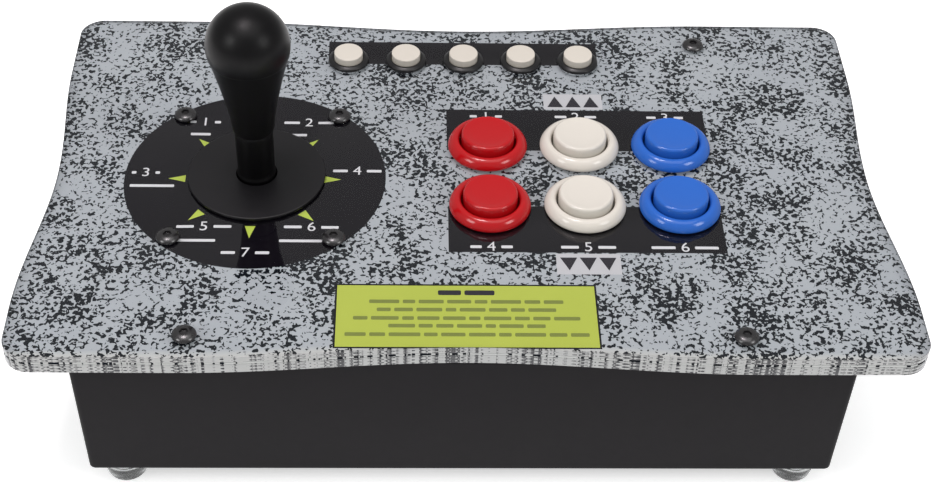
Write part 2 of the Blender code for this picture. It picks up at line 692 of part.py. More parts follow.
def bat_profile():
    """The bat's outside from its lower end up, then its blind bore for the shaft."""
    bore = SHAFT_RADIUS + GAP
    low = SLEEVE_HIGH_Z + GAP
    crown = BAT_TOP_Z - BAT_RADIUS
    outside = [(radius, low + rise) for radius, rise in BAT_TAPER]
    dome = []
    for degrees in BAT_DOME_DEGREES:
        angle = math.radians(degrees)
        dome.append((BAT_RADIUS * math.cos(angle), crown + BAT_RADIUS * math.sin(angle)))
    shaft_end = SHAFT_HIGH_Z + GAP
    return [(bore, low)] + outside + dome + [(0.0, BAT_TOP_Z), (0.0, shaft_end), (bore, shaft_end)]


def sleeve_profile():
    """The sleeve's outside: straight through the washer, a small flare above it, then a neck."""
    bore = SHAFT_RADIUS + GAP
    flare_low = WASHER_HIGH_Z + GAP
    return [
        (bore, SLEEVE_LOW_Z),
        (SLEEVE_LOW_RADIUS, SLEEVE_LOW_Z),
        (SLEEVE_LOW_RADIUS, flare_low),
        (SLEEVE_FLARE_RADIUS, flare_low + 0.4 * MM),
        (SLEEVE_FLARE_RADIUS, flare_low + 1.0 * MM),
        (SLEEVE_NECK_RADIUS, flare_low + 2.6 * MM),
        (SLEEVE_HIGH_RADIUS, SLEEVE_HIGH_Z),
        (bore, SLEEVE_HIGH_Z),
    ]


def shaft_profile():
    """The steel shaft with its retaining clip pressed into the groove near the lower end."""
    return [
        (0.0, SHAFT_LOW_Z),
        (SHAFT_RADIUS, SHAFT_LOW_Z),
        (SHAFT_RADIUS, CLIP_Z),
        (CLIP_RADIUS, CLIP_Z),
        (CLIP_RADIUS, CLIP_Z + CLIP_THICKNESS),
        (SHAFT_RADIUS, CLIP_Z + CLIP_THICKNESS),
        (SHAFT_RADIUS, SHAFT_HIGH_Z),
        (0.0, SHAFT_HIGH_Z),
    ]


def make_stick():
    """Everything that leans: the ball leans left and right, the rest also fore and aft."""
    side_axis = pivot_empty("stick_side_axis", STICK_PIVOT)
    fore_axis = pivot_empty("stick_fore_aft_axis", STICK_PIVOT)
    hang_on(fore_axis, side_axis)

    nylon = material("pivot_nylon", (0.75, 0.74, 0.70), 0.4)
    ball = place("pivot_ball", turned_mesh("pivot_ball", pivot_ball_profile(), ROUND_LARGE), nylon, STICK_PIVOT)
    boolean(ball, slot_mesh(), "DIFFERENCE", STICK_PIVOT)
    hang_on(ball, side_axis)

    steel = material("bright_steel", (0.70, 0.70, 0.70), 0.2, 1.0)
    spring_steel = material("spring_steel", (0.55, 0.55, 0.55), 0.3, 1.0)
    grip_black = material("moulded_grip", (0.018, 0.018, 0.019), 0.42)
    sleeve_black = material("moulded_sleeve", (0.016, 0.016, 0.017), 0.4)
    actuator_look = material("actuator_plastic", (0.80, 0.79, 0.75), 0.45)
    bore = SHAFT_RADIUS + GAP
    actuator_low = CLIP_Z + CLIP_THICKNESS + GAP
    actuator_high = actuator_low + ACTUATOR_HEIGHT
    actuator = [
        (bore, actuator_low),
        (ACTUATOR_RADIUS, actuator_low),
        (ACTUATOR_RADIUS, actuator_high),
        (bore, actuator_high),
    ]
    spring_high = STICK_PIVOT_Z - PIVOT_BALL_HALF_HEIGHT - 1.6 * MM
    pieces = [
        ("lever_shaft", turned_mesh("lever_shaft", shaft_profile(), ROUND_SMALL), steel),
        ("shaft_sleeve", turned_mesh("shaft_sleeve", sleeve_profile(), ROUND_LARGE), sleeve_black),
        ("bat_grip", turned_mesh("bat_grip", bat_profile(), ROUND_LARGE), grip_black),
        ("switch_actuator", turned_mesh("switch_actuator", actuator, ROUND_MEDIUM), actuator_look),
        ("return_spring", spring_mesh(actuator_high + GAP, spring_high), spring_steel),
    ]
    for name, mesh, look in pieces:
        hang_on(place(name, mesh, look, STICK_PLACE), fore_axis)


def make_washers():
    """The dust washer slides fore and aft over a thin ring, and the ring slides side to side."""
    ring_look = material("slip_nylon", (0.10, 0.10, 0.10), 0.4)
    ring_high = SLIP_RING_LOW_Z + SLIP_RING_THICKNESS
    ring = [
        (SLIP_RING_HOLE_RADIUS, SLIP_RING_LOW_Z),
        (SLIP_RING_RADIUS, SLIP_RING_LOW_Z),
        (SLIP_RING_RADIUS, ring_high),
        (SLIP_RING_HOLE_RADIUS, ring_high),
    ]
    slider = place("slip_ring", turned_mesh("slip_ring", ring, ROUND_LARGE), ring_look, STICK_PLACE)
    washer_look = material("moulded_washer", (0.030, 0.029, 0.031), 0.38)
    chamfer = 0.4 * MM
    profile = [
        (WASHER_HOLE_RADIUS, WASHER_WEB_LOW_Z),
        (WASHER_LIP_INNER_RADIUS, WASHER_WEB_LOW_Z),
        (WASHER_LIP_INNER_RADIUS, SLIP_RING_LOW_Z),
        (WASHER_RADIUS, SLIP_RING_LOW_Z),
        (WASHER_RADIUS, WASHER_HIGH_Z - chamfer),
        (WASHER_RADIUS - chamfer, WASHER_HIGH_Z),
        (WASHER_HOLE_RADIUS, WASHER_HIGH_Z),
    ]
    washer = place("dust_washer", turned_mesh("dust_washer", profile, 28), washer_look, STICK_PLACE)
    hang_on(washer, slider)


# ---------------------------------------------------------------- push-buttons
def button_body_profile():
    """Rim, threaded barrel and nut, with the plunger's well, heights from the panel's top."""
    nut_high = BACKING_LOW_Z - GAP - PANEL_TOP_Z
    nut_low = nut_high - BUTTON_NUT_HEIGHT
    floor_high = BUTTON_FLOOR - BUTTON_BARREL_LENGTH
    return [
        (BUTTON_WELL_RADIUS, BUTTON_RIM_HEIGHT - 0.6 * MM),
        (12.9 * MM, BUTTON_RIM_HEIGHT),
        (14.6 * MM, BUTTON_RIM_HEIGHT - 0.5 * MM),
        (16.0 * MM, BUTTON_RIM_HEIGHT - 2.0 * MM),
        (BUTTON_RIM_RADIUS, 1.2 * MM),
        (BUTTON_RIM_RADIUS, GAP),
        (BUTTON_BARREL_RADIUS, GAP),
        (BUTTON_BARREL_RADIUS, nut_high),
        (BUTTON_NUT_RADIUS, nut_high),
        (BUTTON_NUT_RADIUS, nut_low),
        (BUTTON_BARREL_RADIUS, nut_low),
        (BUTTON_BARREL_RADIUS, -BUTTON_BARREL_LENGTH),
        (STEM_HOLE_RADIUS, -BUTTON_BARREL_LENGTH),
        (STEM_HOLE_RADIUS, floor_high),
        (BUTTON_INSIDE_RADIUS, floor_high),
        (BUTTON_INSIDE_RADIUS, -BUTTON_WELL_DEPTH),
        (BUTTON_WELL_RADIUS, -BUTTON_WELL_DEPTH),
    ]


def plunger_profile():
    """The plunger's shallow dished top, its skirt and the stem that works the switch."""
    stem_low = PLUNGER_TRAVEL - BUTTON_BARREL_LENGTH + 0.1 * MM
    return [
        (0.0, PLUNGER_STAND - 0.5 * MM),
        (8.0 * MM, PLUNGER_STAND - 0.3 * MM),
        (10.2 * MM, PLUNGER_STAND),
        (PLUNGER_RADIUS, PLUNGER_STAND - 0.8 * MM),
        (PLUNGER_RADIUS, -PLUNGER_SKIRT),
        (STEM_RADIUS, -PLUNGER_SKIRT),
        (STEM_RADIUS, stem_low),
        (0.0, stem_low),
    ]


def make_buttons(switch_mesh, switch_look):
    colours = {"red": (0.58, 0.010, 0.015), "white": (0.83, 0.80, 0.72), "blue": (0.035, 0.14, 0.68)}
    bodies = {}
    plungers = {}
    for colour, value in colours.items():
        look = material("button_" + colour, value, 0.22)
        bodies[colour] = (turned_mesh("button_body_" + colour, button_body_profile(), ROUND_MEDIUM), look)
        plunger_look = material("plunger_" + colour, value, 0.22)
        plungers[colour] = (turned_mesh("plunger_" + colour, plunger_profile(), ROUND_MEDIUM), plunger_look)
    names = [f"{colour}_{row}" for row in ("rear", "front") for colour in ("red", "white", "blue")]
    for name, (x, y) in zip(names, button_places()):
        colour = name.split("_")[0]
        spot = Vector((x, y, PANEL_TOP_Z))
        place("button_body_" + name, *bodies[colour], spot)
        place("plunger_" + name, *plungers[colour], spot)
        top = PANEL_TOP_Z - BUTTON_BARREL_LENGTH - GAP
        switch = place("button_switch_" + name, switch_mesh, switch_look, (x, y, top - 1.0 * MM), 0.0)
        switch.rotation_euler = (0.0, math.pi / 2.0, 0.0)


def small_body_profile():
    nut_high = BACKING_LOW_Z - GAP - PANEL_TOP_Z
    nut_low = nut_high - SMALL_NUT_HEIGHT
    well = SMALL_CAP_RADIUS + SMALL_WELL_CLEARANCE
    floor_high = SMALL_FLOOR - SMALL_BARREL_LENGTH
    return [
        (well, SMALL_BEZEL_HEIGHT),
        (SMALL_BEZEL_RADIUS - 0.9 * MM, SMALL_BEZEL_HEIGHT),
        (SMALL_BEZEL_RADIUS, SMALL_BEZEL_HEIGHT - 0.9 * MM),
        (SMALL_BEZEL_RADIUS, GAP),
        (SMALL_BARREL_RADIUS, GAP),
        (SMALL_BARREL_RADIUS, nut_high),
        (SMALL_NUT_RADIUS, nut_high),
        (SMALL_NUT_RADIUS, nut_low),
        (SMALL_BARREL_RADIUS, nut_low),
        (SMALL_BARREL_RADIUS, -SMALL_BARREL_LENGTH),
        (0.0, -SMALL_BARREL_LENGTH),
        (0.0, floor_high),
        (well, floor_high),
    ]


def small_cap_profile():
    stem_low = SMALL_FLOOR + SMALL_TRAVEL + MM - SMALL_BARREL_LENGTH
    return [
        (0.0, SMALL_CAP_STAND),
        (SMALL_CAP_RADIUS - 0.5 * MM, SMALL_CAP_STAND),
        (SMALL_CAP_RADIUS, SMALL_CAP_STAND - 0.5 * MM),
        (SMALL_CAP_RADIUS, -SMALL_CAP_SKIRT),
        (SMALL_STEM_RADIUS, -SMALL_CAP_SKIRT),
        (SMALL_STEM_RADIUS, stem_low),
        (0.0, stem_low),
    ]


def make_small_buttons():
    black = material("small_bezel_black", (0.020, 0.020, 0.021), 0.35)
    cream = material("small_cap_cream", (0.78, 0.74, 0.66), 0.35)
    body = turned_mesh("small_body", small_body_profile(), ROUND_SMALL)
    cap = turned_mesh("small_cap", small_cap_profile(), ROUND_SMALL)
    for number, (x, y) in enumerate(small_button_places(), 1):
        place(f"small_body_{number}", body, black, (x, y, PANEL_TOP_Z))
        place(f"small_cap_{number}", cap, cream, (x, y, PANEL_TOP_Z))


# ---------------------------------------------------------------- electronics
def make_control_board():
    green = material("board_green", (0.02, 0.16, 0.06), 0.45)
    low_z = FLOOR_TOP_Z + BOARD_STAND
    half_x = BOARD_HALF_LENGTH
    half_y = BOARD_HALF_WIDTH
    base = box_mesh("control_board", (-half_x, -half_y, low_z), (half_x, half_y, low_z + BOARD_THICKNESS))
    spot = (0.0, BOARD_Y, 0.0)
    board = place("control_board", base, green, spot, 0.0)
    inside = low_z + BOARD_THICKNESS / 2.0
    chip = CHIP_HALF_WIDTH
    extras = [box_mesh("chip", (-chip, -chip, inside), (chip, chip, inside + CHIP_HEIGHT))]
    wide, deep = HEADER_HALF_SIZE
    for x in (-HEADER_X, HEADER_X):
        low = (x - wide, -deep, inside)
        high = (x + wide, deep, inside + HEADER_HEIGHT)
        extras.append(box_mesh("header", low, high))
    stand = BOARD_STANDOFF_HALF_WIDTH
    for x in (BOARD_STANDOFF_INSET - half_x, half_x - BOARD_STANDOFF_INSET):
        for y in (BOARD_STANDOFF_INSET - half_y, half_y - BOARD_STANDOFF_INSET):
            low = (x - stand, y - stand, FLOOR_TOP_Z + GAP)
            extras.append(box_mesh("standoff", low, (x + stand, y + stand, inside)))
    boolean(board, joined_bodies("board_extras", extras), "UNION", spot)


def make_usb_socket():
    """A square data socket in the rear wall, open to the rear."""
    black = material("socket_black", (0.03, 0.03, 0.03), 0.4)
    spot = (CASE_X, CASE_Y + CASE_HALF_DEPTH + GAP, USB_Z)
    half_x = USB_CAVITY_HALF_WIDTH
    half_z = USB_CAVITY_HALF_HEIGHT
    face = USB_FLANGE_THICKNESS
    margin_x, margin_z = USB_FLANGE_MARGIN
    flange_low = (-half_x - margin_x, 0.0, -half_z - margin_z)
    flange_high = (half_x + margin_x, face, half_z + margin_z)
    flange = box_mesh("usb_socket", flange_low, flange_high)
    socket = place("usb_socket", flange, black, spot, 0.0)
    barrel_low = (-half_x - USB_WALL, face - USB_CAVITY_DEPTH - USB_WALL, -half_z - USB_WALL)
    barrel_high = (half_x + USB_WALL, face / 2.0, half_z + USB_WALL)
    boolean(socket, box_mesh("socket_barrel", barrel_low, barrel_high), "UNION", spot)
    cavity_low = (-half_x, face - USB_CAVITY_DEPTH, -half_z)
    cavity_high = (half_x, face + MM, half_z)
    boolean(socket, box_mesh("socket_cavity", cavity_low, cavity_high), "DIFFERENCE", spot)


def main():
    clear_scene()
    make_panel_sheets()
    make_case()
    make_feet()
    make_panel_screws()
    make_joystick_bolts()
    switch_look = material("switch_black", (0.025, 0.025, 0.027), 0.5)
    switch_mesh = microswitch_mesh()
    make_joystick_frame(switch_mesh, switch_look)
    make_stick()
    make_washers()
    make_buttons(switch_mesh, switch_look)
    make_small_buttons()
    make_control_board()
    make_usb_socket()


main()
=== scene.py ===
"""The looks of an arcade joystick panel: finely built pieces and procedural materials around the
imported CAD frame, then the camera, the lights and the floor.

Lengths are in metres, except where a comment, a docstring or in_metres() says millimetres.
"""

import math

import bmesh
import bpy
from mathutils import Matrix, Vector


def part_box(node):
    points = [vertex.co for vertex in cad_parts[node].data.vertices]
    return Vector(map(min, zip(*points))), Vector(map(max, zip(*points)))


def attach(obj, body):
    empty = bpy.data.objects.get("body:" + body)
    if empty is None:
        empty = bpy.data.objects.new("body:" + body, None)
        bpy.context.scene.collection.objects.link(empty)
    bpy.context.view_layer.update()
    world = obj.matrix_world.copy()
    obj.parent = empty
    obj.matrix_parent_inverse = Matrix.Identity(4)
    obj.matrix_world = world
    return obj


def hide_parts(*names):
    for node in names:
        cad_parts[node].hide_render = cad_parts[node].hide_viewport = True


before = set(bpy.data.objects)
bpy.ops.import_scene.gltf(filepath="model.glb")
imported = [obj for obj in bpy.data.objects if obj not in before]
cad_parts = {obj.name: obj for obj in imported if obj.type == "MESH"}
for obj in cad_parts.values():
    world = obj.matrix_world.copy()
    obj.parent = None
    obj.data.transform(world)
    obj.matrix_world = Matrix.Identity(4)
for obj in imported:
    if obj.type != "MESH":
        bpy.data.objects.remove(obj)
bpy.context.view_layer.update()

MM = 0.001
ORIGIN = (0.0, 0.0, 0.0)

# -------- where the CAD says things are
COVER_LOW, COVER_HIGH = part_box("cover_sheet")
BACKING_LOW, BACKING_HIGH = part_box("backing_sheet")
CASE_LOW, CASE_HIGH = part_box("case_shell")
TOP_Z = COVER_HIGH.z


def middle(node):
    """The middle of a CAD node's box, seen from above."""
    low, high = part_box(node)
    return Vector(((low.x + high.x) / 2.0, (low.y + high.y) / 2.0, 0.0))


STICK = middle("dust_washer")

# -------- driving dimensions
PANEL_END_DIP = 5.6 * MM
PANEL_END_DIP_REACH = 110.0 * MM
PANEL_WAIST_HALF_WIDTH = 167.1 * MM
PANEL_FRONT_HALF_WIDTH = COVER_HIGH.x
PANEL_FRONT_BULGE_Y = 79.0 * MM
PANEL_REAR_HALF_WIDTH = 170.8 * MM
PANEL_REAR_BULGE_Y = 66.0 * MM
PANEL_HALF_DEPTH = COVER_HIGH.y
PANEL_CORNER_RADIUS = 10.2 * MM
POLISHED_EDGE = 0.2 * MM
SCREW_HOLE_RADIUS = 2.8 * MM
STICK_HOLE_RADIUS = 14.3 * MM
BUTTON_HOLE_RADIUS = 14.1 * MM
SMALL_HOLE_RADIUS = 8.0 * MM
FILM_CLEARANCE = 0.08 * MM
FILM_EDGE = 0.05 * MM
INK_HEIGHT = 0.03 * MM
INK_GAP = 0.005 * MM
CASE_TAPER = 1.7 * MM
CASE_FLANGE_WIDTH = 9.0 * MM
SCREW_HEAD_HEIGHT = 2.2 * MM
PART_GAP = 0.3 * MM

# The clear sheets' polished edges carry a painted reflection of the print, in mirrored rows of this
# height, and each row reaches this far in. The share after them is how much of the grey below it, a
# painted shade that dims that painted reflection, lies over it.
EDGE_REFLECTION_ROW = 0.85 * MM
EDGE_REFLECTION_DEPTH = 2.4 * MM
EDGE_PAINTED_SHADE_SHARE = 0.3
EDGE_PAINTED_SHADE = (0.10, 0.10, 0.105, 1.0)

# The print, in millimetres from the middle of the panel.
DIAL_CENTRE = (-86.4, -1.4)
DIAL_RADIUS = 53.6
FIELD_X = (-7.4, 103.8)
FIELD_REAR_Y = (17.0, 44.0)
FIELD_FRONT_Y = (-45.0, -17.8)
SMALL_BAND_X = (-59.4, 60.7)
SMALL_BAND_Y = (75.3, 91.4)
LABEL_X = (-50.7, 48.9)
LABEL_Y = (-96.2, -63.8)
LABEL_BORDER = 0.75
CAPTION_X = (35.0, 60.6)
CAPTION_REAR_Y = (44.6, 55.0)
CAPTION_FRONT_Y = (-57.2, -45.6)

# The print's colours. The grey and the lime each wander between two.
GREYS = ((0.325, 0.350, 0.378, 1.0), (0.380, 0.405, 0.425, 1.0))
# painted light: the grey made paler along the panel's front edge
FRONT_EDGE_PAINTED_LIGHT = (0.48, 0.49, 0.48, 1.0)
FLECK = (0.006, 0.008, 0.011, 1.0)
PLAIN_BOX = (0.46, 0.46, 0.48, 1.0)
DARK_AREA = (0.0048, 0.0040, 0.0062, 1.0)
LIMES = ((0.36, 0.42, 0.060, 1.0), (0.42, 0.48, 0.080, 1.0))

BUTTON_NAMES = [f"{colour}_{row}" for row in ("rear", "front") for colour in ("red", "white", "blue")]
SMALL_NUMBERS = range(1, 6)
SIDES = 96
SIDES_SMALL = 64
LEVEL = 0.999  # a face is level when its normal's Z is past this
SAME_SPOT = 1e-7


# -------- mesh makers
def finish_mesh(name, shape):
    """The shape as a mesh, with its faces turned outwards."""
    bmesh.ops.recalc_face_normals(shape, faces=shape.faces)
    mesh = bpy.data.meshes.new(name)
    shape.to_mesh(mesh)
    shape.free()
    return mesh


def bridge(shape, low, high):
    """Quads between two closed rings of vertices; a ring of one vertex is a pole."""
    count = max(len(low), len(high))
    faces = []
    if len(low) == 1 and len(high) == 1:
        return faces
    for k in range(count):
        following = (k + 1) % count
        corners = [
            low[k % len(low)],
            low[following % len(low)],
            high[following % len(high)],
            high[k % len(high)],
        ]
        face = shape.faces.new(list(dict.fromkeys(corners)))
        face.smooth = True
        faces.append(face)
    return faces


def turned_mesh(name, profile, sides=SIDES):
    """Turns a closed profile of (radius, height) or (radius, height, hexagon) points about Z.

    hexagon 1 turns the ring into a hexagon whose flats are at radius, and 0 keeps it round.
    """
    shape = bmesh.new()
    rings = []
    for point in profile:
        radius, height = point[0], point[1]
        hexagon = point[2] if len(point) > 2 else 0.0
        if radius == 0.0:
            rings.append([shape.verts.new((0.0, 0.0, height))])
            continue
        ring = []
        for k in range(sides):
            angle = 2.0 * math.pi * k / sides
            corner = 1.0 / math.cos(angle % (math.pi / 3.0) - math.pi / 6.0)
            reach = radius * (1.0 + hexagon * (corner - 1.0))
            ring.append(shape.verts.new((reach * math.cos(angle), reach * math.sin(angle), height)))
        rings.append(ring)
    for low, high in zip(rings, rings[1:] + rings[:1]):
        bridge(shape, low, high)
    return finish_mesh(name, shape)


def filleted(points, steps=5):
    """A closed polygon of (x, y, radius) corners with each corner rounded by its radius."""
    made = []
    count = len(points)
    for k, (x, y, radius) in enumerate(points):
        here = Vector((x, y))
        if not radius:
            made.append((x, y))
            continue
        before = Vector(points[k - 1][:2]) - here
        after = Vector(points[(k + 1) % count][:2]) - here
        half_angle = before.angle(after) / 2.0
        reach = min(radius / math.tan(half_angle), 0.49 * before.length, 0.49 * after.length)
        start = here + before.normalized() * reach
        end = here + after.normalized() * reach
        for step in range(steps + 1):
            t = step / steps
            spot = start * (1.0 - t) ** 2 + here * 2.0 * t * (1.0 - t) + end * t * t
            made.append((spot.x, spot.y))
    return made


def smooth_curve(points, steps=6):
    """A Catmull-Rom curve through open (x, y) points."""
    spots = [Vector(p) for p in points]
    spots = [2.0 * spots[0] - spots[1]] + spots + [2.0 * spots[-1] - spots[-2]]
    made = []
    for a, b, c, d in zip(spots, spots[1:], spots[2:], spots[3:]):
        for step in range(steps):
            t = step / steps
            spot = (
                2.0 * b
                + (c - a) * t
                + (2.0 * a - 5.0 * b + 4.0 * c - d) * t**2
                + (3.0 * b - a - 3.0 * c + d) * t**3
            )
            made.append((spot.x / 2.0, spot.y / 2.0))
    made.append((points[-1][0], points[-1][1]))
    return made


def in_metres(points):
    """(x, y, ...) points in millimetres as metres, with anything after x and y kept."""
    return [(p[0] * MM, p[1] * MM, *p[2:]) for p in points]


def inset_loop(loop, distance):
    """The closed loop moved to its left by distance."""
    count = len(loop)
    moved = []
    for k, (x, y) in enumerate(loop):
        before = Vector(loop[k - 1])
        after = Vector(loop[(k + 1) % count])
        along = (after - before).normalized()
        moved.append((x - along.y * distance, y + along.x * distance))
    return moved


def ring_edges(shape, ring):
    return [shape.edges.get((a, b)) or shape.edges.new((a, b)) for a, b in zip(ring, ring[1:] + ring[:1])]


def plate_mesh(name, loops, low, high, edge, steps=4):
    """A plate between two heights, on the left of its loops, with its edges rounded by edge."""
    shape = bmesh.new()
    quarter = [math.pi / 2.0 * k / steps for k in range(steps + 1)]
    profile = [(edge * (1.0 - math.sin(a)), low + edge * (1.0 - math.cos(a))) for a in quarter]
    profile += [(edge * (1.0 - math.cos(a)), high - edge * (1.0 - math.sin(a))) for a in quarter]
    bottoms = []
    tops = []
    for loop in loops:
        rings = []
        for inset, height in profile:
            rings.append([shape.verts.new((x, y, height)) for x, y in inset_loop(loop, inset)])
        for lower, upper in zip(rings, rings[1:]):
            bridge(shape, lower, upper)
        bottoms += ring_edges(shape, rings[0])
        tops += ring_edges(shape, rings[-1])
    for edges, normal in ((bottoms, (0.0, 0.0, -1.0)), (tops, (0.0, 0.0, 1.0))):
        bmesh.ops.triangle_fill(shape, edges=edges, use_beauty=True, normal=normal)
    return finish_mesh(name, shape)


def circle(centre, radius, sides=SIDES_SMALL):
    """A round hole's loop, clockwise, so that the plate is on its left."""
    turn = [-2.0 * math.pi * k / sides for k in range(sides)]
    return [(centre[0] + radius * math.cos(a), centre[1] + radius * math.sin(a)) for a in turn]


def rectangle(low, high, radius):
    """A rectangle's (x, y, radius) corners, anticlockwise, for filleted()."""
    return [
        (high[0], low[1], radius),
        (high[0], high[1], radius),
        (low[0], high[1], radius),
        (low[0], low[1], radius),
    ]


def joined(name, meshes):
    """One mesh from several (mesh, matrix) pairs."""
    shape = bmesh.new()
    for mesh, matrix in meshes:
        copy = mesh.copy()
        copy.transform(matrix)
        shape.from_mesh(copy)
        bpy.data.meshes.remove(copy)
    return finish_mesh(name, shape)


def in_scene(name, data):
    """A new object that holds the data, linked into the scene."""
    made = bpy.data.objects.new(name, data)
    bpy.context.scene.collection.objects.link(made)
    return made


def cut(mesh, tools):
    """The mesh with closed tool meshes cut from it by an exact Boolean."""
    target = in_scene("cut_target", mesh)
    helpers = []
    for tool in tools:
        helper = in_scene("cut_tool", tool)
        step = target.modifiers.new("cut", "BOOLEAN")
        step.operation = "DIFFERENCE"
        step.solver = "EXACT"
        step.object = helper
        helpers.append(helper)
    bpy.context.view_layer.update()
    made = bpy.data.meshes.new_from_object(target.evaluated_get(bpy.context.evaluated_depsgraph_get()))
    made.name = mesh.name
    for old in [target, *helpers]:
        bpy.data.objects.remove(old, do_unlink=True)
    return made


def piece(name, mesh, looks, body, stands_for=(), place=ORIGIN, sharp=32.0):
    """Adds a finished piece: placed, smoothed, painted and riding on its body."""
    made = in_scene(name, mesh)
    made.location = place
    if not mesh.materials:
        for look in looks if isinstance(looks, (list, tuple)) else [looks]:
            mesh.materials.append(look)
        mesh.shade_smooth()
        mesh.set_sharp_from_angle(angle=math.radians(sharp))
    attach(made, body)
    if stands_for:
        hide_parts(*stands_for)
    return made


# -------- node helpers
def new_tree(name):
    """A node material and its tree, which is still empty."""
    made = bpy.data.materials.new(name)
    made.use_nodes = True
    made.node_tree.nodes.clear()
    return made, made.node_tree


def put(socket, value):
    """Links an output to a socket, or sets the socket's value."""
    if isinstance(value, bpy.types.NodeSocket):
        socket.id_data.links.new(value, socket)
    else:
        socket.default_value = value


def add(tree, kind, inputs=None, **settings):
    """A node with its settings and its inputs, by name or number, set or linked."""
    made = tree.nodes.new(kind)
    for key, value in settings.items():
        setattr(made, key, value)
    for key, value in (inputs or {}).items():
        put(made.inputs[key], value)
    return made


def surfaced(made, tree, inputs):
    """The material, with a Principled shader as its surface."""
    shader = add(tree, "ShaderNodeBsdfPrincipled", inputs)
    add(tree, "ShaderNodeOutputMaterial", {"Surface": shader.outputs[0]})
    return made


def maths(tree, operation, a, b=0.0, c=0.0):
    return add(tree, "ShaderNodeMath", {0: a, 1: b, 2: c}, operation=operation).outputs[0]


def noise(tree, vector, scale, detail=2.0, roughness=0.5, distortion=0.0):
    inputs = {
        "Vector": vector,
        "Scale": scale,
        "Detail": detail,
        "Roughness": roughness,
        "Distortion": distortion,
    }
    return add(tree, "ShaderNodeTexNoise", inputs).outputs[0]


def remap(tree, value, low, high, to_low, to_high):
    inputs = {"Value": value, "From Min": low, "From Max": high, "To Min": to_low, "To Max": to_high}
    return add(tree, "ShaderNodeMapRange", inputs).outputs[0]


def mixed(tree, share, a, b):
    """Colour a, turning to colour b as share goes to 1."""
    made = add(tree, "ShaderNodeMix", data_type="RGBA")
    put(made.inputs[0], share)
    put(made.inputs[6], a)
    put(made.inputs[7], b)
    return made.outputs[2]


def shade(colour, factor):
    return (*[min(1.0, max(0.0, channel * factor)) for channel in colour[:3]], 1.0)


def object_millimetres(tree):
    """The point on the piece in its own millimetres."""
    spot = add(tree, "ShaderNodeTexCoord").outputs["Object"]
    scaled = add(tree, "ShaderNodeVectorMath", {0: spot, "Scale": 1.0 / MM}, operation="SCALE")
    return scaled.outputs[0]


# -------- materials
def finish_look(name, colour, roughness, grain, depth, spread=0.06, metallic=0.0, level=0.5, worn=0.04):
    """A moulded, painted or machined surface.

    grain is the size of its texture and depth that texture's height, both in millimetres;
    spread is how far its colour varies and worn how far its roughness does.
    """
    made, tree = new_tree(name)
    spot = object_millimetres(tree)
    cloudy = noise(tree, spot, 0.09, 3.0)
    colour_now = mixed(tree, cloudy, shade(colour, 1.0 - spread), shade(colour, 1.0 + spread))
    smudges = noise(tree, spot, 0.35, 4.0, 0.6)
    rough_now = remap(tree, smudges, 0.25, 0.75, roughness - worn, roughness + worn)
    texture = noise(tree, spot, 1.0 / grain, 2.0, 0.55)
    bump = add(tree, "ShaderNodeBump", {"Strength": 1.0, "Distance": depth * MM, "Height": texture})
    inputs = {
        "Base Color": colour_now,
        "Roughness": rough_now,
        "Metallic": metallic,
        "Specular IOR Level": level,
        "Normal": bump.outputs[0],
    }
    return surfaced(made, tree, inputs)


def clear_look(name, tint, roughness, index):
    """Clear plastic. Light on its way to a lamp or between matt surfaces passes straight through."""
    made, tree = new_tree(name)
    spot = object_millimetres(tree)
    handled = noise(tree, spot, 0.05, 4.0, 0.6)
    rough_now = remap(tree, handled, 0.35, 0.75, roughness, roughness * 2.0)
    shader = add(
        tree,
        "ShaderNodeBsdfPrincipled",
        {"Base Color": (*tint, 1.0), "Roughness": rough_now, "IOR": index, "Transmission Weight": 1.0},
    )
    through = add(tree, "ShaderNodeBsdfTransparent", {"Color": (*tint, 1.0)})
    path = add(tree, "ShaderNodeLightPath")
    straight = maths(tree, "MAXIMUM", path.outputs["Is Shadow Ray"], path.outputs["Is Diffuse Ray"])
    both = add(tree, "ShaderNodeMixShader", {0: straight, 1: shader.outputs[0], 2: through.outputs[0]})
    add(tree, "ShaderNodeOutputMaterial", {"Surface": both.outputs[0]})
    return made


def from_front_edge(tree, x, y):
    """How far (x, y) is behind the panel's front edge, all in millimetres."""
    along = maths(tree, "MINIMUM", maths(tree, "ABSOLUTE", x), PANEL_END_DIP_REACH / MM)
    wave = maths(tree, "COSINE", maths(tree, "MULTIPLY", along, math.pi * MM / PANEL_END_DIP_REACH))
    dip = maths(tree, "MULTIPLY_ADD", wave, PANEL_END_DIP / MM / 2.0, PANEL_END_DIP / MM / 2.0)
    return maths(tree, "SUBTRACT", maths(tree, "ADD", y, PANEL_HALF_DEPTH / MM), dip)


def speckled(tree, flat, from_front):
    """Short dark squiggles, in patches, on a grey made paler along the front edge by painted light."""
    squiggle = noise(tree, flat, 0.40, 1.5, 0.5, 0.8)
    lines = maths(tree, "ABSOLUTE", maths(tree, "SUBTRACT", squiggle, 0.5))
    patches = noise(tree, flat, 0.050, 2.5, 0.6, 0.3)
    breaks = noise(tree, flat, 0.52, 1.0, 0.5, 0.4)
    limit = remap(tree, patches, 0.36, 0.64, 0.610, 0.435)
    thickness = remap(tree, patches, 0.36, 0.64, 0.090, 0.165)
    inside = maths(
        tree,
        "MINIMUM",
        maths(tree, "SUBTRACT", breaks, limit),
        maths(tree, "SUBTRACT", thickness, lines),
    )
    flecks = remap(tree, inside, -0.008, 0.008, 0.0, 1.0)
    tone = noise(tree, flat, 0.02, 2.0)
    base = mixed(tree, tone, *GREYS)
    # painted light: the grey turns paler within a few millimetres of the front edge
    front_painted_light = remap(tree, from_front, 2.5, 5.5, 1.0, 0.0)
    base = mixed(tree, front_painted_light, base, FRONT_EDGE_PAINTED_LIGHT)
    return mixed(tree, flecks, base, FLECK)


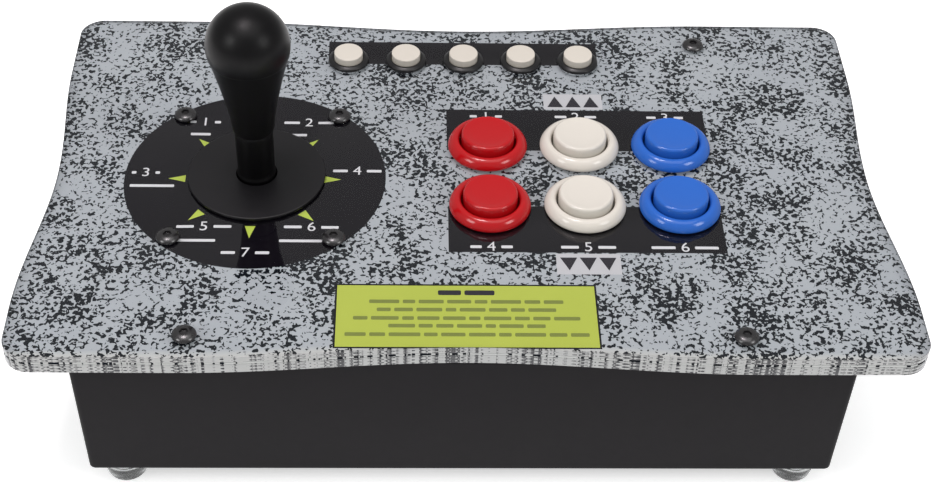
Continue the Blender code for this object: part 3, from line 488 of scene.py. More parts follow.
def edge_look(name):
    """The clear sheets' polished edge: a painted reflection of the speckle, over and over, mirrored each
    time, under a painted shade.
    """
    made, tree = new_tree(name)
    spot = object_millimetres(tree)
    parts = add(tree, "ShaderNodeSeparateXYZ", {0: spot})
    row = maths(tree, "PINGPONG", parts.outputs[2], EDGE_REFLECTION_ROW / MM)
    depth = maths(tree, "MULTIPLY", row, -EDGE_REFLECTION_DEPTH / EDGE_REFLECTION_ROW)
    outwards = add(tree, "ShaderNodeTexCoord").outputs["Normal"]
    inwards = add(tree, "ShaderNodeVectorMath", {0: outwards, "Scale": depth}, operation="SCALE")
    moved = add(tree, "ShaderNodeVectorMath", {0: spot, 1: inwards.outputs[0]}, operation="ADD")
    moved_parts = add(tree, "ShaderNodeSeparateXYZ", {0: moved.outputs[0]})
    x, y = moved_parts.outputs[0], moved_parts.outputs[1]
    flat = add(tree, "ShaderNodeCombineXYZ", {0: x, 1: y, 2: 0.0}).outputs[0]
    speckle = speckled(tree, flat, from_front_edge(tree, x, y))
    # painted shade: a share of a plain grey laid over the painted reflection to dim it
    colour = mixed(tree, EDGE_PAINTED_SHADE_SHARE, speckle, EDGE_PAINTED_SHADE)
    return surfaced(made, tree, {"Base Color": colour, "Roughness": 0.12})


def print_look():
    """The artwork: a speckle, and on it the dial, the dark areas, the captions' boxes and the label."""
    made, tree = new_tree("print")
    spot = object_millimetres(tree)
    parts = add(tree, "ShaderNodeSeparateXYZ", {0: spot})
    x, y = parts.outputs[0], parts.outputs[1]
    flat = add(tree, "ShaderNodeCombineXYZ", {0: x, 1: y, 2: 0.0}).outputs[0]

    def between(value, limits, grow=0.0):
        above = maths(tree, "GREATER_THAN", value, limits[0] - grow)
        below = maths(tree, "LESS_THAN", value, limits[1] + grow)
        return maths(tree, "MULTIPLY", above, below)

    def box(limits_x, limits_y, grow=0.0):
        return maths(tree, "MULTIPLY", between(x, limits_x, grow), between(y, limits_y, grow))

    tone = noise(tree, flat, 0.02, 2.0)
    speckle = speckled(tree, flat, from_front_edge(tree, x, y))
    colour = speckle
    for limits_y in (CAPTION_REAR_Y, CAPTION_FRONT_Y):
        colour = mixed(tree, box(CAPTION_X, limits_y), colour, PLAIN_BOX)
    ends = {0: flat, 1: (*DIAL_CENTRE, 0.0)}
    from_dial = add(tree, "ShaderNodeVectorMath", ends, operation="DISTANCE").outputs["Value"]
    dark_areas = [
        maths(tree, "LESS_THAN", from_dial, DIAL_RADIUS),
        box(FIELD_X, FIELD_REAR_Y),
        box(FIELD_X, FIELD_FRONT_Y),
        box(SMALL_BAND_X, SMALL_BAND_Y),
        box(LABEL_X, LABEL_Y, LABEL_BORDER),
    ]
    for area in dark_areas:
        colour = mixed(tree, area, colour, DARK_AREA)
    colour = mixed(tree, box(LABEL_X, LABEL_Y), colour, mixed(tree, tone, *LIMES))
    weave = noise(tree, flat, 6.0, 1.0)
    rough_now = remap(tree, weave, 0.3, 0.7, 0.5, 0.6)
    facing = add(tree, "ShaderNodeSeparateXYZ", {0: add(tree, "ShaderNodeTexCoord").outputs["Normal"]})
    underside = maths(tree, "LESS_THAN", facing.outputs[2], -0.5)
    inputs = {
        "Base Color": mixed(tree, underside, colour, speckle),
        "Roughness": rough_now,
        "Specular IOR Level": 0.0,
    }
    return surfaced(made, tree, inputs)


def ink_look(name, colour):
    """Ink on the film: its colour, a little uneven."""
    made, tree = new_tree(name)
    dots = noise(tree, object_millimetres(tree), 3.0, 2.0)
    inputs = {
        "Base Color": mixed(tree, dots, shade(colour, 0.9), shade(colour, 1.1)),
        "Roughness": remap(tree, dots, 0.3, 0.7, 0.5, 0.6),
        "Specular IOR Level": 0.0,
    }
    return surfaced(made, tree, inputs)


def button_look(name, colour, roughness=0.15, spread=0.03):
    """A push-button's glossy moulding."""
    return finish_look(name, colour, roughness, 0.80, 0.002, spread, level=0.45, worn=0.015)


LOOKS = {
    "cover": clear_look("cover_acrylic", (0.985, 0.992, 0.990), 0.008, 1.49),
    "backing": clear_look("backing_acrylic", (0.975, 0.985, 0.982), 0.02, 1.49),
    "bond": clear_look("optical_bond", (1.0, 1.0, 1.0), 0.0, 1.0),
    # the sheets' outer edge: a painted reflection of the print under a painted shade
    "edge": edge_look("polished_edge_painted_reflection"),
    "bumper": clear_look("bumper_rubber", (0.86, 0.88, 0.88), 0.12, 1.48),
    "print": print_look(),
    "ink_white": ink_look("ink_white", (0.60, 0.60, 0.62)),
    "ink_dark": ink_look("ink_dark", (0.022, 0.020, 0.026)),
    "ink_olive": ink_look("ink_olive", (0.17, 0.20, 0.045)),
    "ink_lime": ink_look("ink_lime", (0.42, 0.52, 0.08)),
    "coat": finish_look("powder_coat", (0.0078, 0.0070, 0.0082), 0.50, 0.45, 0.012, 0.10, level=0.11),
    "fastener": finish_look("black_oxide", (0.009, 0.008, 0.009), 0.26, 0.30, 0.003, 0.25, level=0.9),
    "grip": finish_look("moulded_grip", (0.0026, 0.0024, 0.0028), 0.37, 0.35, 0.010, 0.15, level=0.17),
    "sleeve": finish_look("moulded_sleeve", (0.0028, 0.0027, 0.0030), 0.38, 0.35, 0.005, 0.15, level=0.17),
    "washer": finish_look("moulded_washer", (0.0075, 0.0070, 0.0082), 0.42, 0.30, 0.008, 0.12, level=0.30),
    "red": button_look("button_red", (0.435, 0.0050, 0.0080)),
    "white": button_look("button_white", (0.655, 0.620, 0.558), 0.16, 0.01),
    "blue": button_look("button_blue", (0.020, 0.120, 0.50)),
    "bezel": finish_look("bezel_black", (0.0080, 0.0078, 0.0085), 0.32, 0.40, 0.005, 0.15, level=0.45),
    "cap": finish_look("cap_cream", (0.625, 0.585, 0.515), 0.34, 0.50, 0.004, 0.03),
    "socket": finish_look("socket_black", (0.010, 0.010, 0.011), 0.42, 0.30, 0.010, 0.15),
    "switch": finish_look("switch_black", (0.016, 0.016, 0.018), 0.45, 0.30, 0.010, 0.15),
    "zinc": finish_look("zinc_plate", (0.58, 0.58, 0.55), 0.34, 0.50, 0.006, 0.12, 1.0),
    "nylon": finish_look("black_nylon", (0.022, 0.022, 0.024), 0.48, 0.30, 0.015, 0.15),
    "pale_nylon": finish_look("pale_nylon", (0.70, 0.68, 0.62), 0.42, 0.50, 0.008, 0.06),
    "steel": finish_look("bright_steel", (0.66, 0.66, 0.66), 0.20, 0.20, 0.003, 0.06, 1.0),
    "contact": finish_look("gilt_contact", (0.78, 0.56, 0.22), 0.25, 0.20, 0.002, 0.08, 1.0),
    "board": finish_look("board_green", (0.016, 0.140, 0.050), 0.40, 0.40, 0.010, 0.15),
}


# -------- the panel's outline
def eased(distance, reach):
    """1 in the middle, falling to 0 at reach as half a cosine wave."""
    if abs(distance) >= reach:
        return 0.0
    return 0.5 * (1.0 + math.cos(math.pi * distance / reach))


def end_y(x):
    """Half depth of the panel at x."""
    return PANEL_HALF_DEPTH - PANEL_END_DIP * eased(x, PANEL_END_DIP_REACH)


def side_x(y):
    """Half width of the panel at y."""
    widest, reach = PANEL_REAR_HALF_WIDTH, PANEL_REAR_BULGE_Y
    if y < 0.0:
        widest, reach = PANEL_FRONT_HALF_WIDTH, PANEL_FRONT_BULGE_Y
    return widest - (widest - PANEL_WAIST_HALF_WIDTH) * eased(y, reach)


def corner_points(sign_x, sign_y, start, steps=14):
    """A round corner, from angle start through a quarter turn."""
    radius = PANEL_CORNER_RADIUS
    half_width = side_x(sign_y * PANEL_HALF_DEPTH)
    points = []
    for k in range(steps + 1):
        angle = start + k / steps * math.pi / 2.0
        x = sign_x * (half_width - radius) + radius * math.cos(angle)
        y = sign_y * (PANEL_HALF_DEPTH - radius) + radius * math.sin(angle)
        points.append((x, y))
    return points


def panel_outline(spans=28):
    """The panel's edge, anticlockwise from the middle of the right side."""
    shares = [k / spans for k in range(spans + 1)]
    rear = [PANEL_REAR_BULGE_Y * share for share in shares]
    front = [-PANEL_FRONT_BULGE_Y * share for share in reversed(shares[1:])]
    across = [PANEL_END_DIP_REACH * (1.0 - 2.0 * k / (2 * spans)) for k in range(2 * spans + 1)]
    points = [(side_x(y), y) for y in rear]
    points += corner_points(1.0, 1.0, 0.0)
    points += [(x, end_y(x)) for x in across]
    points += corner_points(-1.0, 1.0, math.pi / 2.0)
    points += [(-side_x(y), y) for y in reversed(rear)]
    points += [(-side_x(y), y) for y in reversed(front)]
    points += corner_points(-1.0, -1.0, math.pi)
    points += [(-x, -end_y(x)) for x in across]
    points += corner_points(1.0, -1.0, 1.5 * math.pi)
    points += [(side_x(y), y) for y in front]
    return points


def panel_holes():
    """The loops of every hole through the panel, where the CAD has the pieces that pass through."""
    screws = [f"{kind}_{n}" for kind in ("panel_screw", "joystick_bolt") for n in range(1, 5)]
    holes = [circle(middle(node), SCREW_HOLE_RADIUS, 32) for node in screws]
    holes += [circle(middle("button_body_" + name), BUTTON_HOLE_RADIUS) for name in BUTTON_NAMES]
    holes += [circle(middle(f"small_body_{n}"), SMALL_HOLE_RADIUS) for n in SMALL_NUMBERS]
    holes.append(circle(STICK, STICK_HOLE_RADIUS))
    return holes


def clean_loop(points):
    """The loop without repeated points."""
    return [p for k, p in enumerate(points) if (Vector(p) - Vector(points[k - 1])).length > SAME_SPOT]


def share_faces(mesh, upwards):
    """Gives the face on the film the second material, and the outer edge the third, a painted reflection
    of the print.

    upwards is 1 for the sheet whose upper face is on the film, and -1 for the other one.
    """
    for face in mesh.polygons:
        if face.normal.z * upwards > LEVEL:
            face.material_index = 1
        elif face.normal.z * upwards > -LEVEL and on_outline(face.center):
            face.material_index = 2


def on_outline(spot):
    """Whether a point of a sheet's edge is on its outline and not in a hole."""
    return abs(spot.x) > PANEL_WAIST_HALF_WIDTH - MM or abs(spot.y) > end_y(spot.x) - MM


def make_panel():
    """The clear cover, the clear backing and the printed film between them."""
    outline = clean_loop(panel_outline())
    loops = [outline, *panel_holes()]
    mesh = plate_mesh("cover", loops, COVER_LOW.z, COVER_HIGH.z, POLISHED_EDGE)
    # the third look, on the outer edge, is a painted reflection of the print
    looks = [LOOKS["cover"], LOOKS["bond"], LOOKS["edge"]]
    cover = piece("cover", mesh, looks, "base", ["cover_sheet"])
    share_faces(cover.data, -1.0)
    mesh = plate_mesh("backing", loops, BACKING_LOW.z, BACKING_HIGH.z, POLISHED_EDGE)
    # the third look, on the outer edge, is a painted reflection of the print
    looks = [LOOKS["backing"], LOOKS["bond"], LOOKS["edge"]]
    backing = piece("backing", mesh, looks, "base", ["backing_sheet"])
    share_faces(backing.data, 1.0)
    low = BACKING_HIGH.z + FILM_CLEARANCE
    high = COVER_LOW.z - FILM_CLEARANCE
    mesh = plate_mesh("film", loops, low, high, FILM_EDGE, 1)
    piece("film", mesh, LOOKS["print"], "base", ["artwork_sheet"])


# -------- the printed marks
INK_Z = COVER_LOW.z - FILM_CLEARANCE + INK_GAP


def ink_polygon(points, radius=0.0):
    """A flat mark with the given corners in millimetres, anticlockwise."""
    corners = in_metres(points)
    if radius:
        corners = filleted([(x, y, radius * MM) for x, y in corners], 4)
    shape = bmesh.new()
    face = shape.faces.new([shape.verts.new((x, y, INK_Z)) for x, y in corners])
    grown = bmesh.ops.extrude_face_region(shape, geom=[face])
    raised = [item for item in grown["geom"] if isinstance(item, bmesh.types.BMVert)]
    bmesh.ops.translate(shape, verts=raised, vec=(0.0, 0.0, INK_HEIGHT))
    return finish_mesh("mark", shape), Matrix.Identity(4)


def ink_bar(x, y, length, thickness):
    """A bar with round corners, centred at (x, y), in millimetres."""
    half_x, half_y = length / 2.0, thickness / 2.0
    corners = [
        (x - half_x, y - half_y),
        (x + half_x, y - half_y),
        (x + half_x, y + half_y),
        (x - half_x, y + half_y),
    ]
    return ink_polygon(corners, 0.3 * thickness)


def ink_numeral(number, x, y):
    """A plain numeral, centred at (x, y) in millimetres."""
    text = bpy.data.curves.new("numeral", "FONT")
    text.body = str(number)
    text.align_x = "CENTER"
    text.align_y = "CENTER"
    text.size = MARK_HEIGHT / FONT_NUMERAL_HEIGHT * MM
    text.extrude = INK_HEIGHT / 2.0
    holder = in_scene("numeral", text)
    bpy.context.view_layer.update()
    mesh = bpy.data.meshes.new_from_object(holder.evaluated_get(bpy.context.evaluated_depsgraph_get()))
    bpy.data.objects.remove(holder, do_unlink=True)
    mesh.name = "numeral"
    shape = bmesh.new()
    shape.from_mesh(mesh)
    bmesh.ops.remove_doubles(shape, verts=shape.verts, dist=SAME_SPOT)
    shape.to_mesh(mesh)
    shape.free()
    return mesh, Matrix.Translation((x * MM, y * MM, INK_Z + INK_HEIGHT / 2.0))


def ink_triangle(x, y, angle, length, width):
    """A triangle whose middle is at (x, y) and whose point is towards angle, in millimetres."""
    ahead = Vector((math.cos(angle), math.sin(angle)))
    aside = Vector((-ahead.y, ahead.x))
    here = Vector((x, y))
    corners = [
        here + ahead * length / 2.0,
        here - ahead * length / 2.0 + aside * width / 2.0,
        here - ahead * length / 2.0 - aside * width / 2.0,
    ]
    return ink_polygon([(c.x, c.y) for c in corners])


def numbered_mark(number, x, y, spread):
    """A numeral between two short bars, which together are as wide as spread."""
    bar = spread / 2.0 - 0.75 * MARK_HEIGHT
    offset = spread / 2.0 - bar / 2.0
    bars = [ink_bar(x + sign * offset, y, bar, BAR_THICKNESS) for sign in (-1.0, 1.0)]
    return [ink_numeral(number, x, y), *bars]


# The marks' places and sizes, in millimetres; a triangle's size is its length and width. Each numeral
# round the dial has its x and y, its row's length, and the middle and length of the bar below it.
DIAL_MARKS = [
    (-109.8, 34.2, 13.0, -111.3, 8.5),
    (-66.0, 34.2, 21.0, -71.0, 9.0),
    (-131.6, 1.4, 11.5, -128.3, 18.0),
    (-44.6, 3.2, 20.0, 0.0, 0.0),
    (-105.0, -31.0, 22.0, -108.3, 17.0),
    (-62.2, -31.0, 22.0, -66.2, 17.0),
    (-87.6, -46.0, 19.0, 0.0, 0.0),
]
DIAL_ROW_PITCH = 8.1
MARK_HEIGHT = 5.2
FONT_NUMERAL_HEIGHT = 0.70  # as a share of the font's size
BAR_THICKNESS = 0.30 * MARK_HEIGHT
BUTTON_MARK_REAR_Y = 39.6
BUTTON_MARK_FRONT_Y = -41.9
BUTTON_MARK_LENGTHS = (14.0, 18.0, 16.0, 17.0, 22.0, 27.0)
ARROW_MIDDLE = (-86.6, -2.2)
ARROW_RING_RADIUS = 32.0
ARROW_DEGREES = (0.0, 45.0, 135.0, 180.0, 225.0, 270.0, 315.0)
ARROW_SIZE = (7.0, 4.2)
CAPTION_TRIANGLE_OFFSETS = (-7.8, 0.0, 7.8)
CAPTION_TRIANGLE_SIZE = (7.2, 6.8)
LABEL_WORD_LENGTH = 9.0
LABEL_WORD_GAP = 1.3
# Each line of the label: its height on the panel, its share of the label's width and its thickness.
LABEL_LINES = [
    (-67.6, 0.22, 2.6),
    (-72.4, 0.75, 1.9),
    (-76.7, 0.69, 1.9),
    (-81.2, 0.87, 1.9),
    (-85.2, 0.60, 1.9),
    (-89.7, 0.93, 1.9),
]


def numerals():
    """The numerals and bars round the dial and beside the buttons."""
    marks = []
    for number, (x, y, spread, under_x, under) in enumerate(DIAL_MARKS, 1):
        marks += numbered_mark(number, x, y, spread)
        if under:
            marks.append(ink_bar(under_x, y - DIAL_ROW_PITCH, under, BAR_THICKNESS))
    for number, name in enumerate(BUTTON_NAMES, 1):
        x = middle("button_body_" + name).x / MM
        y = BUTTON_MARK_REAR_Y if name.endswith("rear") else BUTTON_MARK_FRONT_Y
        marks += numbered_mark(number, x, y, BUTTON_MARK_LENGTHS[number - 1])
    return marks


def arrows():
    """The arrowheads that point outwards round the stick."""
    marks = []
    for degrees in ARROW_DEGREES:
        angle = math.radians(degrees)
        x = ARROW_MIDDLE[0] + ARROW_RING_RADIUS * math.cos(angle)
        y = ARROW_MIDDLE[1] + ARROW_RING_RADIUS * math.sin(angle)
        marks.append(ink_triangle(x, y, angle, *ARROW_SIZE))
    return marks


def captions():
    """The rows of triangles behind and in front of the buttons."""
    marks = []
    middle_x = sum(CAPTION_X) / 2.0
    for limits_y, angle in ((CAPTION_REAR_Y, math.pi / 2.0), (CAPTION_FRONT_Y, -math.pi / 2.0)):
        for offset in CAPTION_TRIANGLE_OFFSETS:
            y = sum(limits_y) / 2.0
            marks.append(ink_triangle(middle_x + offset, y, angle, *CAPTION_TRIANGLE_SIZE))
    return marks


def label_line(row, y, share, thickness):
    """A line of the label: bars of uneven length, as far apart as words are."""
    length = share * (LABEL_X[1] - LABEL_X[0])
    words = max(2, round(length / LABEL_WORD_LENGTH))
    widths = [1.0 + 0.45 * math.sin(2.4 * k + 1.9 * row) for k in range(words)]
    unit = (length - LABEL_WORD_GAP * (words - 1)) / sum(widths)
    x = sum(LABEL_X) / 2.0 - length / 2.0
    marks = []
    for width in widths:
        marks.append(ink_bar(x + width * unit / 2.0, y, width * unit, thickness))
        x += width * unit + LABEL_WORD_GAP
    return marks


def make_print_marks():
    """The marks, a piece for each colour of ink."""
    heading, *lines = [label_line(row, *line) for row, line in enumerate(LABEL_LINES)]
    inks = {
        "ink_white": numerals(),
        "ink_lime": arrows(),
        "ink_dark": captions() + heading,
        "ink_olive": [mark for line in lines for mark in line],
    }
    for ink, marks in inks.items():
        piece(ink, joined(ink, marks), LOOKS[ink], "base")


# -------- case, feet, fasteners
def case_loop(inset, z, radius):
    """The case's outline at height z, moved in by inset."""
    drawn_in = CASE_TAPER * (CASE_HIGH.z - z) / (CASE_HIGH.z - CASE_LOW.z)
    low = (CASE_LOW.x + drawn_in + inset, CASE_LOW.y + inset)
    high = (CASE_HIGH.x - drawn_in - inset, CASE_HIGH.y - inset)
    return [(x, y, z) for x, y in filleted(rectangle(low, high, radius), 8)]


def make_case():
    """A folded and welded tray with its flange turned in at the top."""
    bend = 2.4 * MM
    rim = 0.8 * MM
    sheet = 1.5 * MM
    loops = []
    for k in range(9):
        angle = k / 8.0 * math.pi / 2.0
        inset = bend * (1.0 - math.sin(angle))
        loops.append(case_loop(inset, CASE_LOW.z + bend * (1.0 - math.cos(angle)), bend))
    for k in range(5):
        angle = k / 4.0 * math.pi / 2.0
        inset = rim * (1.0 - math.cos(angle))
        loops.append(case_loop(inset, CASE_HIGH.z - rim * (1.0 - math.sin(angle)), bend))
    loops.append(case_loop(CASE_FLANGE_WIDTH, CASE_HIGH.z, bend))
    loops.append(case_loop(CASE_FLANGE_WIDTH, CASE_HIGH.z - sheet, bend))
    loops.append(case_loop(sheet, CASE_HIGH.z - sheet, bend - sheet / 2.0))
    loops.append(case_loop(sheet, CASE_LOW.z + sheet, bend - sheet / 2.0))
    shape = bmesh.new()
    rings = [[shape.verts.new(point) for point in loop] for loop in loops]
    for low, high in zip(rings, rings[1:]):
        bridge(shape, low, high)
    for ring in (rings[0], rings[-1]):
        shape.faces.new(ring)
    mesh = finish_mesh("case", shape)
    low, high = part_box("usb_socket")
    spot = ((low.x + high.x) / 2.0, CASE_HIGH.y, (low.z + high.z) / 2.0)
    margin = SOCKET_WALL + PART_GAP
    half = (SOCKET_HALF_WIDTH + margin, SOCKET_HALF_HEIGHT + margin)
    mesh = cut(mesh, [block("socket_hole", spot, half, 4.0 * sheet, SOCKET_CORNER)])
    piece("case", mesh, LOOKS["coat"], "base", ["case_shell"], sharp=40.0)


def block(name, spot, half, depth, radius, edge=0.0):
    """A block with round corners seen along Y: half width and height, and depth along Y."""
    corners = rectangle((-half[0], -half[1]), half, radius)
    mesh = plate_mesh(name, [filleted(corners, 5)], -depth / 2.0, depth / 2.0, edge, 3 if edge else 1)
    turn = Matrix.Rotation(math.radians(90.0), 4, "X")
    mesh.transform(Matrix.Translation(spot) @ turn)
    return mesh


def make_feet():
    """The clear bumpers, each a shallow dome with its flat side on the case."""
    for node in ("foot_front_left", "foot_front_right", "foot_rear_left", "foot_rear_right"):
        low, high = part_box(node)
        radius = (high.x - low.x) / 2.0 / MM
        top = high.z / MM
        dome = [(0.0, 0.0), (0.45, 0.12), (0.74, 0.75), (0.93, 2.4), (1.0, 5.0)]
        outside = smooth_curve([(share * radius, z) for share, z in dome])
        profile = outside + [(radius, top - 0.4), (radius - 0.3, top), (0.0, top)]
        mesh = turned_mesh(node, in_metres(profile), SIDES_SMALL)
        name = node.replace("foot", "bumper")
        piece(name, mesh, LOOKS["bumper"], "base", [node], middle(node))


def screw_mesh(name, length, nut_height=0.0, nut_top=0.0):
    """A button-head screw with a hexagon socket, and its nut if it has one, in millimetres.

    Its head's underside is at 0.
    """
    head, shank = 4.75, 2.5
    top = SCREW_HEAD_HEIGHT / MM
    dome = smooth_curve(
        [(head, 0.30), (4.60, 0.80), (4.12, 1.35), (3.40, 1.82), (2.55, 2.10), (2.15, 2.18)], 4
    )
    profile = [(0.0, -length), (shank - 0.5, -length), (shank, -length + 0.6)]
    if nut_height:
        nut_low = nut_top - nut_height
        profile += [(shank, nut_low), (4.0, nut_low, 1.0), (4.0, nut_top, 1.0), (shank, nut_top)]
    profile += [(shank, 0.0), (head - 0.15, 0.0), (head, 0.15)]
    profile += dome
    profile += [(1.95, top), (1.68, top - 0.02, 1.0), (1.52, top - 0.22, 1.0)]
    profile += [(1.50, top - 0.4, 1.0), (1.50, top - 1.2, 1.0), (0.0, top - 1.5)]
    return turned_mesh(name, in_metres(profile), 48)


def make_screws():
    """The screws at the panel's corners, and the joystick's bolts with their nuts."""
    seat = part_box("panel_screw_1")[1].z - SCREW_HEAD_HEIGHT
    panel_screw = screw_mesh("panel_screw", length=15.0)
    nut_top = (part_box("joystick_plate")[0].z - seat - PART_GAP) / MM
    bolt = screw_mesh("joystick_bolt", length=18.0, nut_height=4.0, nut_top=nut_top)
    for n in range(1, 5):
        for kind, mesh in (("panel_screw", panel_screw), ("joystick_bolt", bolt)):
            node = f"{kind}_{n}"
            place = middle(node) + Vector((0.0, 0.0, seat))
            piece(f"socket_{kind}_{n}", mesh, LOOKS["fastener"], "base", [node], place)


# -------- joystick
STICK_BORE = 5.06  # its radius in millimetres


def make_bat():
    """The bat, in millimetres: a neck that flares into a ball, on a bore for the shaft."""
    low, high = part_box("bat_grip")
    bottom, top = low.z / MM, high.z / MM
    radius = (high.x - low.x) / 2.0 / MM
    crown = top - radius
    neck = [
        (8.00, bottom),
        (8.32, bottom + 0.35),
        (8.62, bottom + 2.2),
        (9.15, bottom + 6.5),
        (9.85, bottom + 11.0),
        (11.45, bottom + 19.0),
        (13.40, bottom + 27.5),
        (15.30, bottom + 35.0),
    ]
    steps = 24
    below, turn = math.radians(16.0), math.radians(106.0)
    angles = [turn * k / steps - below for k in range(steps)]
    dome = [(radius * math.cos(a), crown + radius * math.sin(a)) for a in angles]
    shaft_end = (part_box("lever_shaft")[1].z + PART_GAP) / MM
    outside = smooth_curve(neck + dome[:1], 6)[:-1] + dome
    profile = [(STICK_BORE, bottom)] + outside
    profile += [(0.0, top), (0.0, shaft_end), (STICK_BORE, shaft_end)]
    mesh = turned_mesh("bat", in_metres(profile))
    piece("bat", mesh, LOOKS["grip"], "stick", ["bat_grip"], STICK, sharp=60.0)


def make_sleeve():
    """The shaft's sleeve, in millimetres, with a small bead above the washer."""
    low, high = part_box("shaft_sleeve")
    bottom, top = low.z / MM, high.z / MM
    radius = 7.6
    flare = (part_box("dust_washer")[1].z + PART_GAP) / MM
    outside = smooth_curve(
        [
            (radius, flare - 2.5),
            (radius, flare - 0.1),
            (7.85, flare + 0.2),
            (8.0, flare + 0.6),
            (7.88, flare + 1.2),
            (radius, flare + 2.2),
            (7.55, flare + 3.4),
            (7.62, flare + 10.0),
            (7.75, top - 0.4),
        ]
    )
    profile = [(STICK_BORE, bottom), (radius, bottom)] + outside
    profile += [(radius, top), (STICK_BORE, top)]
    mesh = turned_mesh("sleeve", in_metres(profile))
    piece("sleeve", mesh, LOOKS["sleeve"], "stick", ["shaft_sleeve"], STICK, sharp=60.0)


def make_washer():
    """The dust washer, in millimetres, with a lip round the underside of its edge."""
    low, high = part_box("dust_washer")
    radius = (high.x - low.x) / 2.0 / MM
    bottom, top = low.z / MM, high.z / MM
    hole = 8.35
    lip = 24.4
    web = top - 0.6
    corners = [
        (hole, web, 0.0),
        (lip, web, 0.1),
        (lip, bottom, 0.1),
        (radius, bottom, 0.3),
        (radius, top, 0.6),
        (hole, top, 0.2),
    ]
    mesh = turned_mesh("washer", in_metres(filleted(corners, 5)), 128)
    piece("washer", mesh, LOOKS["washer"], "dust_washer", ["dust_washer"], STICK)


# -------- push-buttons
# The top of every push-button's nut, in millimetres from the panel's top.
NUT_TOP = (BACKING_LOW.z - TOP_Z - PART_GAP) / MM


def rim_profile():
    """A push-button's rim, barrel and nut, in millimetres from the panel's top."""
    rim = smooth_curve(
        [
            (11.9, 3.0),
            (11.98, 3.75),
            (12.45, 4.40),
            (13.25, 4.60),
            (14.35, 4.28),
            (15.45, 3.35),
            (16.25, 2.20),
            (16.62, 1.20),
            (16.60, 0.55),
            (16.35, 0.30),
        ]
    )
    barrel, nut, stem_hole, bore = 13.7, 16.2, 4.2, 10.4
    nut_bottom = NUT_TOP - 6.0
    bottom, floor, step = -37.0, -35.5, -7.0
    outside = [(barrel, 0.30), (barrel, NUT_TOP), (nut, NUT_TOP, 1.0), (nut, nut_bottom, 1.0)]
    outside += [(barrel, nut_bottom), (barrel, bottom), (stem_hole, bottom)]
    inside = [(stem_hole, floor), (bore, floor), (bore, step), (11.9, step)]
    return rim + outside + inside


def plunger_profile():
    """A push-button's dished plunger and its stem, in millimetres from the panel's top."""
    top = smooth_curve(
        [
            (0.0, 7.10),
            (3.5, 7.16),
            (7.0, 7.42),
            (9.0, 7.74),
            (9.8, 7.86),
            (10.4, 7.72),
            (10.88, 7.20),
            (11.10, 6.4),
        ]
    )
    skirt, stem, stem_end = 11.15, 3.4, -33.4
    return top + [(skirt, 5.5), (skirt, -2.0), (stem, -2.0), (stem, stem_end), (0.0, stem_end)]


def make_buttons():
    """The six large push-buttons: a rim on the panel and a plunger that moves in it."""
    rims = {}
    plungers = {}
    for colour in ("red", "white", "blue"):
        rims[colour] = turned_mesh("rim_" + colour, in_metres(rim_profile()))
        plungers[colour] = turned_mesh("plunger_" + colour, in_metres(plunger_profile()))
    for name in BUTTON_NAMES:
        colour = name.split("_")[0]
        place = middle("button_body_" + name) + Vector((0.0, 0.0, TOP_Z))
        look = LOOKS[colour]
        piece("rim_" + name, rims[colour], look, "base", ["button_body_" + name], place)
        body = "plunger_" + name
        piece("button_" + name, plungers[colour], look, body, [body], place)


def make_small_buttons():
    """The five small push-buttons, with profiles in millimetres from the panel's top."""
    rim = filleted(
        [
            (6.65, -20.0, 0.0),
            (6.65, 2.2, 0.15),
            (7.6, 2.2, 0.5),
            (8.75, 1.45, 0.6),
            (9.0, 0.3, 0.2),
            (7.6, 0.3, 0.0),
            (7.6, NUT_TOP, 0.0),
            (9.4, NUT_TOP, 0.3),
            (9.4, NUT_TOP - 3.0, 0.3),
            (7.6, NUT_TOP - 3.0, 0.0),
            (7.6, -22.0, 0.3),
            (0.0, -22.0, 0.0),
            (0.0, -20.0, 0.0),
        ]
    )
    cap = filleted(
        [
            (0.0, 5.2, 0.0),
            (6.3, 5.1, 0.55),
            (6.3, -3.0, 0.0),
            (2.0, -3.0, 0.0),
            (2.0, -17.0, 0.0),
            (0.0, -17.0, 0.0),
        ],
        6,
    )
    bezel_mesh = turned_mesh("bezel", in_metres(rim), SIDES_SMALL)
    cap_mesh = turned_mesh("cap", in_metres(cap), SIDES_SMALL)
    for n in SMALL_NUMBERS:
        place = middle(f"small_body_{n}") + Vector((0.0, 0.0, TOP_Z))
        piece(f"bezel_{n}", bezel_mesh, LOOKS["bezel"], "base", [f"small_body_{n}"], place)
        body = f"small_cap_{n}"
        piece(f"cap_{n}", cap_mesh, LOOKS["cap"], body, [body], place)


# -------- data socket
SOCKET_HALF_WIDTH = 4.25 * MM
SOCKET_HALF_HEIGHT = 3.9 * MM
SOCKET_WALL = 1.3 * MM
SOCKET_DEPTH = 12.0 * MM
SOCKET_CORNER = 0.4 * MM


